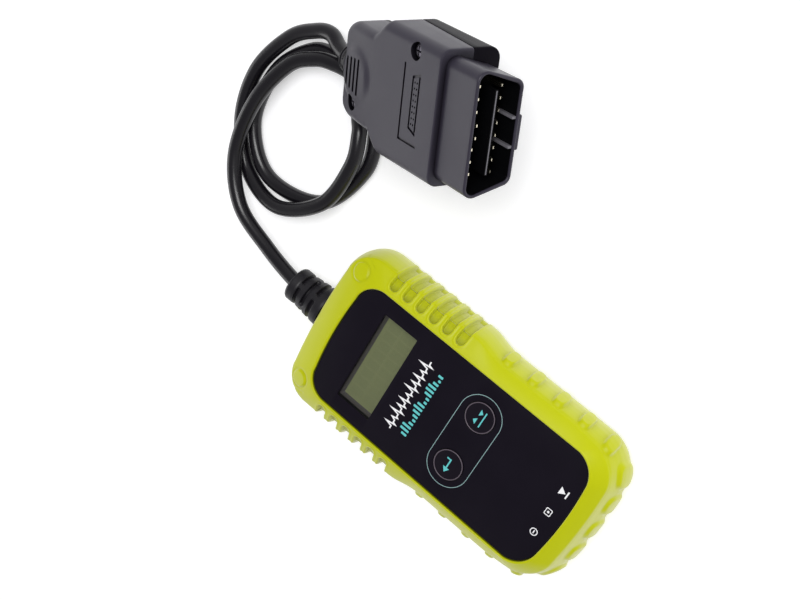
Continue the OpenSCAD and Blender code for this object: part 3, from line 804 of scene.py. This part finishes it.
def make_display():
    """The grey funnel round the glass and faint character cells on the glass."""
    inner = [(38.5, 15.7, 20.25), (38.1, 15.3, 20.2), (37.6, 14.5, 18.75), (37.2, 14.0, 18.35),
             (37.2, 14.0, 18.22)]
    outer = [(44.0, 21.0, 18.22), (44.0, 21.0, 19.0), (38.5, 18.4, 19.3), (38.5, 15.7, 20.0)]
    rings = [at_height(rounded_rect(0, WINDOW_Y, w, h, 0.3, 3), z) for w, h, z in outer + inner]
    bezel = clean(loft("display_bezel", rings, LCD_EDGE, wrap=True))
    sharp_smooth(bezel)
    settle(bezel, "reader", "lcd_frame")
    cells = []
    for row in range(2):
        for k in range(8):
            x = -16.9 + 4.3 * k
            y = WINDOW_Y - 5.7 + 6.0 * row
            cells.append([rounded_rect(x + 1.8, y + 2.6, 3.5, 5.0, 0.1, 2)])
    settle(ink("lcd_cells", cells, LCD_CELL, 18.2), "reader")


def make_key(name, x, body, node):
    """A low key with a faint dome inside a thin raised ring, and its printed icon."""
    t = KEY_TOP
    side = 5.86
    profile = [(0.001, t + 0.02), (2.0, t), (3.6, t - 0.05), (4.8, t - 0.12), (5.25, t - 0.17),
               (5.4, t - 0.17), (5.84, t - 0.2), (side, t - 0.5), (side, t - 1.6), (side, t - 2.8),
               (0.001, t - 2.8)]
    key = lathe(name, profile, KEY_RUBBER, shifted(x, KEY_Y))
    sharp_smooth(key)
    settle(key, body, node)
    # the raised ring is real; its lighter grey colour is a painted highlight
    rings = [turned_ring(5.62 + 0.2 * math.cos(a), full_turn(120), t - 0.17 + 0.2 * math.sin(a))
             for a in full_turn(12)]
    ring = loft(name + "_ring", transformed(np.array(rings), shifted(x, KEY_Y)), KEY_RING_HIGHLIGHT, wrap=True)
    settle(clean(ring), body)
    cx, cy = x, KEY_Y
    if x < 0:
        shapes = [[[(cx - 3.2, cy), (cx - 1.2, cy + 1.35), (cx - 1.2, cy - 1.35)]],
                  [slanted(cx - 1.25, cy - 0.28, 3.9, 0.56, 0)], [slanted(cx + 2.1, cy + 0.27, 0.56, 1.4, 0)]]
    else:
        shapes = [[[(cx - 3.2, cy + 0.5), (cx - 0.5, cy + 0.5), (cx - 1.85, cy + 1.9)]],
                  [[(cx + 0.5, cy + 0.9), (cx + 3.2, cy + 0.9), (cx + 1.85, cy - 0.5)]],
                  [slanted(cx - 3.2, cy - 1.6, 6.4, 0.5, 0)]]
    settle(ink(name + "_icon", shapes, PRINT_TEAL, t + 0.01), body)


# =====================================================================
# Cable and strain reliefs
# =====================================================================
def plug_matrix():
    """The plug's frame: +Y out of its mouth, +Z out of its upper side, origin between its contact tips."""
    a, b, c = PLUG_TURN
    rx = np.array([[1, 0, 0], [0, math.cos(a), -math.sin(a)], [0, math.sin(a), math.cos(a)]])
    ry = np.array([[math.cos(b), 0, math.sin(b)], [0, 1, 0], [-math.sin(b), 0, math.cos(b)]])
    rz = np.array([[math.cos(c), -math.sin(c), 0], [math.sin(c), math.cos(c), 0], [0, 0, 1]])
    m = np.eye(4)
    m[:3, :3] = rz @ ry @ rx
    m[:3, 3] = PLUG_POS
    return m


PLUG = plug_matrix()
RELIEF_Z = 1.5
SWIVEL_Y = -77.0
PLUG_FRONT, PLUG_REAR = -12.0, -74.0


def in_plug(*local):
    return transformed(np.array(local, float), PLUG)


# way-points of the cable's middle, from the reader's grommet through the coil to the plug's
ROUTE = [
    (0, 81, 11.3), (2.7, 99, 9.7), (9.3, 118, 9.4), (25.5, 130, 9.6), (48, 132.1, 10.2),
    (67.2, 126.6, 9.5), (75.3, 118.1, 9.1), (78.3, 110.4, 9), (79.3, 102.3, 8.7), (77.1, 95.2, 7.2),
    (74.2, 90.3, 4.6), (66, 85.9, 3.1), (50.1, 81.5, 3.1), (28.8, 91.2, 3.1), (23.7, 116, 3.2),
    (38.4, 132.4, 3.3), (60.7, 133.4, 3.1), (75.7, 123.6, 3.1), (78.7, 113.1, 3.1), (76.2, 103.5, 3.1),
    (71.4, 97.4, 3.9), (66.8, 92.5, 6.8), (62.4, 88, 9.2), (50.5, 84.6, 9.4), (31.7, 87.7, 9.4),
    (17.6, 105.2, 7.1), (20.9, 126, 3.4), (36.9, 138.4, 3.2), (56.8, 140.7, 4.4), (75.2, 133, 6.3),
    (83.9, 123.6, 7.6), (86.6, 117, 8.8), (85.1, 110.8, 10.6),
]


def smooth_path(way, steps):
    """The curve through the way-points, with a point on each of them."""
    way = np.asarray(way, float)
    out = []
    for i in range(len(way) - 1):
        p1, p2 = way[i], way[i + 1]
        p0 = way[i - 1] if i > 0 else 2 * p1 - p2
        p3 = way[i + 2] if i + 2 < len(way) else 2 * p2 - p1
        for k in range(steps):
            t = k / steps
            out.append(0.5 * (2 * p1 + (p2 - p0) * t + (2 * p0 - 5 * p1 + 4 * p2 - p3) * t ** 2
                              + (3 * p1 - p0 - 3 * p2 + p3) * t ** 3))
    out.append(way[-1])
    return np.array(out)


def tube(name, path, radius, material):
    """A round tube along a path, with domed ends."""
    tangent = np.gradient(path, axis=0)
    tangent /= np.linalg.norm(tangent, axis=1)[:, None]
    up = np.array([0.0, 0.0, 1.0])
    angles = full_turn(40)
    rings = []

    def ring(p, t, r):
        side = np.cross(up, t)
        side /= np.linalg.norm(side)
        top = np.cross(t, side)
        rings.append(p + r * (np.outer(np.cos(angles), side) + np.outer(np.sin(angles), top)))

    for a in (80, 60, 40, 20):
        a = math.radians(a)
        ring(path[0] - tangent[0] * radius * math.sin(a), tangent[0], radius * math.cos(a))
    for p, t in zip(path, tangent):
        ring(p, t, radius)
    for a in (20, 40, 60, 80):
        a = math.radians(a)
        ring(path[-1] + tangent[-1] * radius * math.sin(a), tangent[-1], radius * math.cos(a))
    return clean(loft(name, rings, material, caps=(True, True)))


def make_cable():
    """The jacket from inside the reader's grommet, through the coil, to inside the plug's tail."""
    last = in_plug(0, SWIVEL_Y, RELIEF_Z)
    way = [(0, SWAY_Y, CABLE_Z)] + ROUTE + [in_plug(0, y, RELIEF_Z) for y in (-84.2, -80.8)] + [last]
    cable = tube("cable_jacket_run", smooth_path(way, 16), CABLE_R, JACKET)
    settle(cable, "cable_run", "cable")


# slots are cut in a grommet's outer side only, beyond this radius
BORE_LIMIT = 4.5


def ribbed_relief(name, profile, slots, place):
    """A turned grommet with rows of slots part of the way round it. A slot is (height, half width,
    depth, first angle, last angle)."""
    angles = full_turn(120)
    heights = []
    for (r0, h0), (r1, h1) in zip(profile[:-1], profile[1:]):
        n = max(int(math.hypot(r1 - r0, h1 - h0) / 0.28), 1)
        for k in range(n):
            heights.append((r0 + (r1 - r0) * k / n, h0 + (h1 - h0) * k / n))
    heights.append(profile[-1])
    rings = []
    for r, h in heights:
        radius = np.full(len(angles), float(r))
        for at, half, depth, first, last in slots:
            along = smoothstep(half + 0.16, half - 0.16, abs(h - at))
            mid = math.radians((first + last) / 2)
            span = math.radians((last - first) / 2)
            off = np.abs((angles - mid + math.pi) % (2 * math.pi) - math.pi)
            around = smoothstep(span + 0.05, span - 0.05, off)
            if r > BORE_LIMIT:
                radius = radius - depth * along * around
        rings.append(turned_ring(radius, angles, h))
    obj = clean(loft(name, transformed(np.array(rings), place), RELIEF))
    sharp_smooth(obj, 50)
    return obj


def turned_along(way, z):
    """The matrix that lays a turned shape along Y, forwards or backwards, at a height."""
    place = shifted(0, 0, z)
    place[:3, :3] = np.array([[1, 0, 0], [0, 0, way], [0, -way, 0]], float)
    return place


def bend(piece, node):
    """Bakes a grommet's place into its mesh, and hides the CAD node it stands in for."""
    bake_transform(piece)
    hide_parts(node)


def make_reader_relief():
    """The grommet in the boot's top end, with three rows of slots."""
    root = READER_LEN / 2 - 1.2
    profile = [(3.0, root), (7.9, root), (8.0, root + 1.0), (7.9, root + 2.4), (7.5, root + 6.0),
               (7.0, root + 10.5), (6.75, root + 13.2), (6.9, root + 13.5), (6.9, root + 16.2),
               (6.5, root + 16.9), (5.6, root + 17.15), (3.6, root + 17.15), (3.0, root + 16.8),
               (3.0, root)]
    slots = []
    for row, at in enumerate((4.4, 8.2, 12.0)):
        for k in range(3):
            first = k * 120 + (0 if row % 2 else 60) + 10
            slots.append((root + at, 0.75, 1.5, first, first + 100))
    piece = ribbed_relief("reader_relief_skin", profile, slots, turned_along(1, CABLE_Z))
    bend(piece, "reader_strain_relief")


def make_plug_relief():
    """The shorter grommet in the plug's tail."""
    rear = -PLUG_REAR
    profile = [(3.0, rear - 1.0), (5.9, rear - 1.0), (6.0, rear + 0.4), (5.9, rear + 1.4),
               (5.6, rear + 4.4), (5.2, rear + 7.0), (4.9, rear + 7.7), (4.3, rear + 8.1),
               (3.5, rear + 8.2), (3.05, rear + 7.9), (3.0, rear - 1.0)]
    slots = []
    for row, at in enumerate((1.7, 3.9, 6.1)):
        for k in range(2):
            first = k * 180 + (90 if row % 2 else 0) + 12
            slots.append((rear + at, 0.5, 1.2, first, first + 156))
    piece = ribbed_relief("plug_relief_skin", profile, slots, PLUG @ turned_along(-1, RELIEF_Z))
    bend(piece, "plug_strain_relief")


# =====================================================================
# Plug
# =====================================================================
# place of each screw, and the height of its seat
SCREWS = [(-18.0, -26.2, 10.2), (10.2, -64.3, 9.3)]


def plug_loft(name, rings, material):
    """A closed skin over rings given in the plug's frame."""
    return loft(name, transformed(np.array(rings, float), PLUG), material, caps=(True, True))


def plug_prism(loop, low, high):
    """A cutter over an outline on the plug's upper face."""
    return prism("cutter", loop, low, high, PLUG_GREY, PLUG)


# the tail's corners, and the low mound on its upper side that carries the slots
TAIL_CORNER = 7.5
TAIL_SWELL, TAIL_SWELL_Y = 1.2, -62.5


def tail_round(y, radius):
    """How far a corner of this radius draws in at a place along the plug, at its tail."""
    t = min(max((PLUG_REAR + radius - y) / radius, 0), 1)
    return radius * (1 - math.sqrt(1 - t * t))


def plug_shape(y):
    """Half width, top, underside and edge radius of the plug's body at a place along it."""
    half = 22.4 + 0.5 * min(max((PLUG_FRONT - y) / 32, 0), 1)
    half += (17.1 - half) * smoothstep(-45.0, -53.0, y)
    top = 11.0 - 1.9 * smoothstep(-50, -76, y)
    under = -11.4 + 5.6 * smoothstep(-46, -57, y)
    radius = 4.0 - 0.8 * smoothstep(-44, -54, y)
    half -= tail_round(y, TAIL_CORNER) * 0.92
    fall = tail_round(y, 3.2) * 0.8
    return half, top - fall, under + fall, radius


def seam_height(y):
    """The parting line falls a little towards the tail."""
    return -0.9 + 0.07 * max(y - PLUG_FRONT, -40)


def half_section(y, side, d=0.0):
    """The plug's section on one side of the parting line, drawn in by d, as a closed loop of X, Z."""
    half, top, under, radius = plug_shape(y)
    half -= d
    edge = (top - d) if side > 0 else (under + d)
    radius = min(max(radius - d, 0.5), half - 0.5, abs(edge) - 1.2)
    seam = seam_height(y) + side * 0.03
    out = [(half - inward, seam + side * rise)
           for inward, rise in ((0.45, 0), (0.3, 0.02), (0.06, 0.2), (0, 0.4))]
    wall_end = edge - side * radius
    for t in (0.33, 0.66, 1.0):
        out.append((half, seam + side * 0.4 + (wall_end - seam - side * 0.4) * t))
    for k in range(1, 11):
        a = math.radians(9 * k)
        out.append((half - radius + radius * math.cos(a), wall_end + side * radius * math.sin(a)))
    span = half - radius
    middle = [(span * (1 - 2 * k / 28), edge) for k in range(1, 28)]
    left = [(-x, z) for x, z in reversed(out)]
    close = [((half - 0.45) * (2 * k / 10 - 1), seam) for k in range(1, 10)]
    return np.array(out + middle + left + close)


def make_plug_shell(name, side, material):
    """One half of the plug's body, lofted from its front face to its tail."""
    stations = [PLUG_FRONT - v for v in (0.0, 0.12, 0.35, 0.7, 2.0, 5.0, 10.0, 15.0, 20.0, 26.0, 31.0)]
    stations += list(np.linspace(-44.0, -55.0, 16)) + list(np.linspace(-56.5, -66.5, 9))
    for a in np.linspace(8, 88, 13):
        stations.append(PLUG_REAR + TAIL_CORNER * (1 - math.sin(math.radians(a))))
    rings = []
    for k, y in enumerate(stations):
        d = (0.55, 0.22, 0.06)[k] if k < 3 else 0.0
        flat = half_section(y, side, d)
        z = flat[:, 1].copy()
        if side > 0:
            away = np.hypot(flat[:, 0] * 0.95, (y - TAIL_SWELL_Y) * 0.9)
            z += TAIL_SWELL * smoothstep(10.4, 6.4, away) * (z > plug_shape(y)[1] - 1.5)
        rings.append(np.column_stack([flat[:, 0], np.full(len(flat), y), z]))
    shell = clean(plug_loft(name, rings, material))
    mouth = plug_loft("cutter", [mouth_ring(0.06, y) for y in (-17, -8)], PLUG_GREY)
    return cut(shell, [clean(mouth)])


def mouth_loop(grow):
    """The connector's mouth seen from the front as X, Z points, with rounded corners."""
    w, k, h = 21.3 + grow, 16.55 + grow, 8.9 + grow
    sharp = np.array([(k, -h), (w, h), (-w, h), (-k, -h)])
    out = []
    for i in range(4):
        p, q, s = sharp[i - 1], sharp[i], sharp[(i + 1) % 4]
        a = (p - q) / np.linalg.norm(p - q)
        b = (s - q) / np.linalg.norm(s - q)
        angle = math.acos(float(np.clip(a @ b, -1, 1)))
        r = (3.7 if q[1] > 0 else 3.1) + 0.85 * grow
        centre = q + (a + b) / np.linalg.norm(a + b) * r / math.sin(angle / 2)
        first = q + a * r / math.tan(angle / 2) - centre
        last = q + b * r / math.tan(angle / 2) - centre
        a0 = math.atan2(first[1], first[0])
        turn = (math.atan2(last[1], last[0]) - a0 + math.pi) % (2 * math.pi) - math.pi
        for j in range(11):
            t = a0 + turn * j / 10
            out.append(centre + r * np.array([math.cos(t), math.sin(t)]))
    return np.array(out)


def mouth_ring(grow, y):
    """The mouth's outline, grown or drawn in, at a place along the plug."""
    flat = mouth_loop(grow)
    return np.column_stack([flat[:, 0], np.full(len(flat), float(y)), flat[:, 1]])


def make_plug_body():
    """Both halves; the upper one has four slots on its tail, two screw wells and the engraving."""
    upper = make_plug_shell("plug_upper_skin", 1, PLUG_GREY)
    # the lower half takes the darker copy of the plug plastic: painted shade
    lower = make_plug_shell("plug_lower_skin", -1, PLUG_UNDER_SHADE)
    cutters = []
    for i in range(4):
        slot = rounded_rect(-0.25 + 0.1 * i, -68.0 + 2.95 * i, 2 * (5.1 + 0.42 * i), 1.4, 0.65, 5)
        cutters.append(plug_prism(slot, 8.0, 13.0))
    for x, y, seat in SCREWS:
        cutters.append(plug_prism(circle(x, y, 2.95, 48), seat - 1.6, 13))
    cutters += engraving()
    cut(upper, [join("cutter", cutters)])
    for shell, node in ((upper, "plug_upper_shell"), (lower, "plug_lower_shell")):
        sharp_smooth(shell, 32)
        settle(shell, "plug", node)


def engraving():
    """Lines cut in the plug's upper face: a bracket, and a socket mark with two rows of holes."""
    z0, z1 = 10.5, 12.5
    bracket = [(-13.2, -31.85), (12.3, -31.85), (12.3, -21.0), (11.4, -21.0), (11.4, -30.95),
               (-13.2, -30.95)]
    out = [plug_prism(bracket, z0, z1)]
    cx, cy = -1.6, -24.2
    wide = np.array([(-10.2, 2.3), (-8.6, -2.3), (8.6, -2.3), (10.2, 2.3)])[::-1]
    narrow = np.array([(-9.0, 1.45), (-7.9, -1.45), (7.9, -1.45), (9.0, 1.45)])[::-1]
    mark = [wide + (cx, cy), narrow + (cx, cy)]
    out.append(plate("cutter", mark, z0, z1, PLUG_GREY, bevel=0.0, place=PLUG))
    for row in (-0.62, 0.62):
        for k in range(8):
            out.append(plug_prism(circle(cx + (k - 3.5) * 1.95, cy + row, 0.36, 14), z0, z1))
    return out


def make_connector():
    """The shroud with its rounded rim, and inside it the floor, the blade, the two ribs and the lock."""
    wall = 1.2
    rim = 4.9
    rings = [mouth_ring(0, y) for y in (-15.5, -12.0, -6.0, 0.0, 3.0)]
    for a in np.linspace(0, 180, 11):
        a = math.radians(a)
        rings.append(mouth_ring(-wall / 2 + wall / 2 * math.cos(a), rim - 0.6 + 0.6 * math.sin(a)))
    split = len(rings)
    for y in (3.6, 0.0, -5.0, -8.6, -9.0):
        rings.append(mouth_ring(-wall, y))
    shroud = plug_loft("connector_skin", rings, SHROUD)
    # the shroud's inner walls and floor take the near-black copy: painted shade inside the mouth
    shroud.data.materials.append(MOUTH_SHADE_BLACK)
    cols = rings[0].shape[0]
    for index, polygon in enumerate(shroud.data.polygons):
        inside = (split - 1) * cols <= index < (len(rings) - 1) * cols
        floor = polygon.loop_total > 4 and index % 2
        if inside or floor:
            polygon.material_index = 1
    clean(shroud)
    parts = [box_mesh("part", (-13.7, -9.2, -0.55), (13.7, 3.2, 0.55), MOUTH_SHADE_BLACK, PLUG)]
    # the ribs are real; their light grey colour and the thin strip along the blade's front edge are painted
    # highlights
    ribs = [box_mesh("part", (-13.4, 3.0, -0.22), (13.4, 3.28, 0.22), RIB_HIGHLIGHT_GREY, PLUG)]
    for x in (-4.8, 4.7):
        ribs.append(box_mesh("part", (x - 0.45, -9.2, -8.2), (x + 0.45, 4.3, -6.3), RIB_HIGHLIGHT_GREY, PLUG))
    lock = box_mesh("part", (-5.6, -11.9, -10.2), (5.9, 4.5, -8.2), SHROUD, PLUG)
    for part, width in [(q, 0.1) for q in parts + ribs] + [(lock, 0.6)]:
        bm = bmesh.new()
        bm.from_mesh(part.data)
        bmesh.ops.bevel(bm, geom=bm.edges, offset=width * MM, segments=3, profile=0.5, affect="EDGES")
        bm.to_mesh(part.data)
        bm.free()
    core = join("connector_core", parts)
    edges = join("connector_ribs", ribs)
    shell = join("connector_skin", [shroud, lock])
    shell.data.materials.append(MOUTH_SHADE_BLACK)
    for piece, node in ((core, None), (edges, None), (shell, "connector_insert")):
        for polygon in piece.data.polygons:
            polygon.use_smooth = True
        sharp_smooth(piece, 42)
        settle(piece, "plug", node)


def make_contacts():
    """Two rows of eight flat contacts with chamfered tips; two of the upper row stand further out."""
    parts = []
    for z in (-4.115, 4.115):
        for i in range(8):
            x = (i - 3.5) * 4
            out = 1.0 if z > 0 and i in (3, 4) else 0.0
            rings = []
            tip = ((-12, 0.75, 0.4), (out - 0.9, 0.75, 0.4), (out - 0.3, 0.6, 0.32), (out, 0.42, 0.2))
            for y, w, t in tip:
                rings.append([(x - w, y, z - t), (x + w, y, z - t), (x + w, y, z + t), (x - w, y, z + t)])
            parts.append(plug_loft("part", rings, CONTACT))
    piece = join("contact_blades", parts)
    clean(piece, 0.0001)
    piece.data.polygons.foreach_set("use_smooth", [False] * len(piece.data.polygons))
    settle(piece, "plug", "contact_pins")


def cross_screw(x, y, z, r, place):
    """A round-headed screw seen from its head, with a cross recess."""
    profile = [(0.001, z + 0.35), (r * 0.55, z + 0.28), (r * 0.85, z + 0.05), (r, z - 0.35),
               (r, z - 1.0), (0.001, z - 1.0)]
    head = lathe("part", profile, SCREW_DARK, place @ shifted(x, y), sides=40)
    a = r * 0.66
    b = 0.3
    cross = [(-a, -b), (-b, -b), (-b, -a), (b, -a), (b, -b), (a, -b), (a, b), (b, b), (b, a),
             (-b, a), (-b, b), (-a, b)]
    recess = prism("cutter", np.array(cross) + (x, y), z - 0.6, z + 1, SCREW_DARK, place)
    return cut(head, [recess])


def make_plug_screws():
    """The two screw heads in the plug's wells."""
    parts = [cross_screw(x, y, seat - 0.6, 2.5, PLUG) for x, y, seat in SCREWS]
    piece = join("plug_screw_heads", parts)
    sharp_smooth(piece, 30)
    settle(piece, "plug", "plug_screws")


# =====================================================================
# Assembly
# =====================================================================
make_boot()
make_front_shell()
make_rear_shell()
make_label_print()
make_display()
make_panel()
make_print()
make_key("left_key_cap", -KEY_X, "left_key_body", "left_key")
make_key("right_key_cap", KEY_X, "right_key_body", "right_key")
make_cable()
make_reader_relief()
make_plug_relief()
make_plug_body()
make_connector()
make_contacts()
make_plug_screws()

CAD_FINISH = {
    "display_window": CLEAR, "lcd_glass": LCD_FACE, "lcd_board": BOARD, "lcd_header": CHIP,
    "main_board": BOARD, "switch_bodies": CHIP,
    "left_plunger": STEM, "right_plunger": STEM, "microcontroller": CHIP, "bus_transceiver": CHIP,
    "capacitors": CAN, "crystal": TIN, "voltage_regulator": CHIP, "cable_header": NYLON,
    "harness_leads": WIRE, "plug_leads": WIRE, "cable_entry": JACKET, "plug_cable_entry": JACKET,
    "cable_tie": NYLON, "shell_screws": STEEL, "board_screws": STEEL, "rear_label": LABEL,
}
for node, material in CAD_FINISH.items():
    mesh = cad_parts[node].data
    mesh.materials.clear()
    mesh.materials.append(material)


# =====================================================================
# Stage, light and camera
# =====================================================================
PALE = (0.80, 0.80, 0.81, 1)
FLOOR_GLOW, DOME_STRENGTH = 0.42, 0.85
# the dome's colour from the horizon to overhead
DOME = [(0.0, PALE), (0.35, (0.66, 0.66, 0.67, 1)), (0.85, (0.30, 0.30, 0.31, 1))]
# place, aim, size and power of each lamp, in metres and watts
KEY_LAMP = ((0.40, -0.10, 0.80), (0.03, 0.03, 0), (0.45, 0.45), 5.5)
SWEEP_LAMP = ((-0.75, 1.05, 0.32), (0.06, 0.06, 0.03), (1.1, 0.5), 3.3)
LENS, SENSOR = 54, 36
EYE = (0.2064, -0.0837, 0.3898)
EYE_RIGHT, EYE_BACK = (0.471, -0.744, -0.474), (0.42, -0.284, 0.862)


def make_stage():
    """A white sweep that glows a little, like a lit product table."""
    floor_material = finish("stage_floor", PALE, 0.8, grain=400, bump=0.0, vary=0.005, spec=0.1)
    shader = floor_material.node_tree.nodes["Principled BSDF"]
    shader.inputs["Emission Color"].default_value = (1, 1, 1, 1)
    shader.inputs["Emission Strength"].default_value = FLOOR_GLOW
    far, down = 3000, -0.3
    corners = [(-far, -far, down), (far, -far, down), (far, far, down), (-far, far, down)]
    floor = mesh_from("stage_floor", corners, [(0, 1, 2, 3)], floor_material, smooth=False)


def soft_light(name, place, aim, size, power):
    """A rectangular lamp turned towards a point."""
    light = bpy.data.lights.new(name, "AREA")
    light.shape = "RECTANGLE"
    light.size, light.size_y = size
    light.energy = power
    obj = bpy.data.objects.new(name, light)
    bpy.context.scene.collection.objects.link(obj)
    obj.location = Vector(place)
    obj.rotation_euler = (Vector(aim) - Vector(place)).to_track_quat("-Z", "Y").to_euler()


def make_lights():
    """A studio dome that is brightest at the horizon, a lamp over the camera's side and a low one
    behind the coil."""
    world = bpy.data.worlds.new("soft_world")
    bpy.context.scene.world = world
    world.use_nodes = True
    nodes, links = world.node_tree.nodes, world.node_tree.links
    back = nodes["Background"]
    where = nodes.new("ShaderNodeTexCoord")
    split = nodes.new("ShaderNodeSeparateXYZ")
    ramp = nodes.new("ShaderNodeValToRGB")
    links.new(where.outputs["Generated"], split.inputs["Vector"])
    links.new(split.outputs["Z"], ramp.inputs["Fac"])
    links.new(ramp.outputs["Color"], back.inputs["Color"])
    stops = ramp.color_ramp.elements
    stops[0].position, stops[0].color = DOME[0]
    stops[1].position, stops[1].color = DOME[2]
    middle = stops.new(DOME[1][0])
    middle.color = DOME[1][1]
    back.inputs["Strength"].default_value = DOME_STRENGTH
    soft_light("key", *KEY_LAMP)
    soft_light("sweep", *SWEEP_LAMP)
    bpy.context.scene.view_settings.view_transform = "Standard"


def make_camera():
    """The photograph's viewpoint: high on the reader's lower right, rolled over to its side."""
    camera = bpy.data.cameras.new("camera")
    camera.sensor_width = SENSOR
    camera.lens = LENS
    obj = bpy.data.objects.new("camera", camera)
    bpy.context.scene.collection.objects.link(obj)
    right = Vector(EYE_RIGHT).normalized()
    back = Vector(EYE_BACK).normalized()
    up = back.cross(right).normalized()
    right = up.cross(back)
    turn = Matrix((right, up, back)).transposed().to_4x4()
    obj.matrix_world = Matrix.Translation(EYE) @ turn
    bpy.context.scene.camera = obj


make_stage()
make_lights()
make_camera()
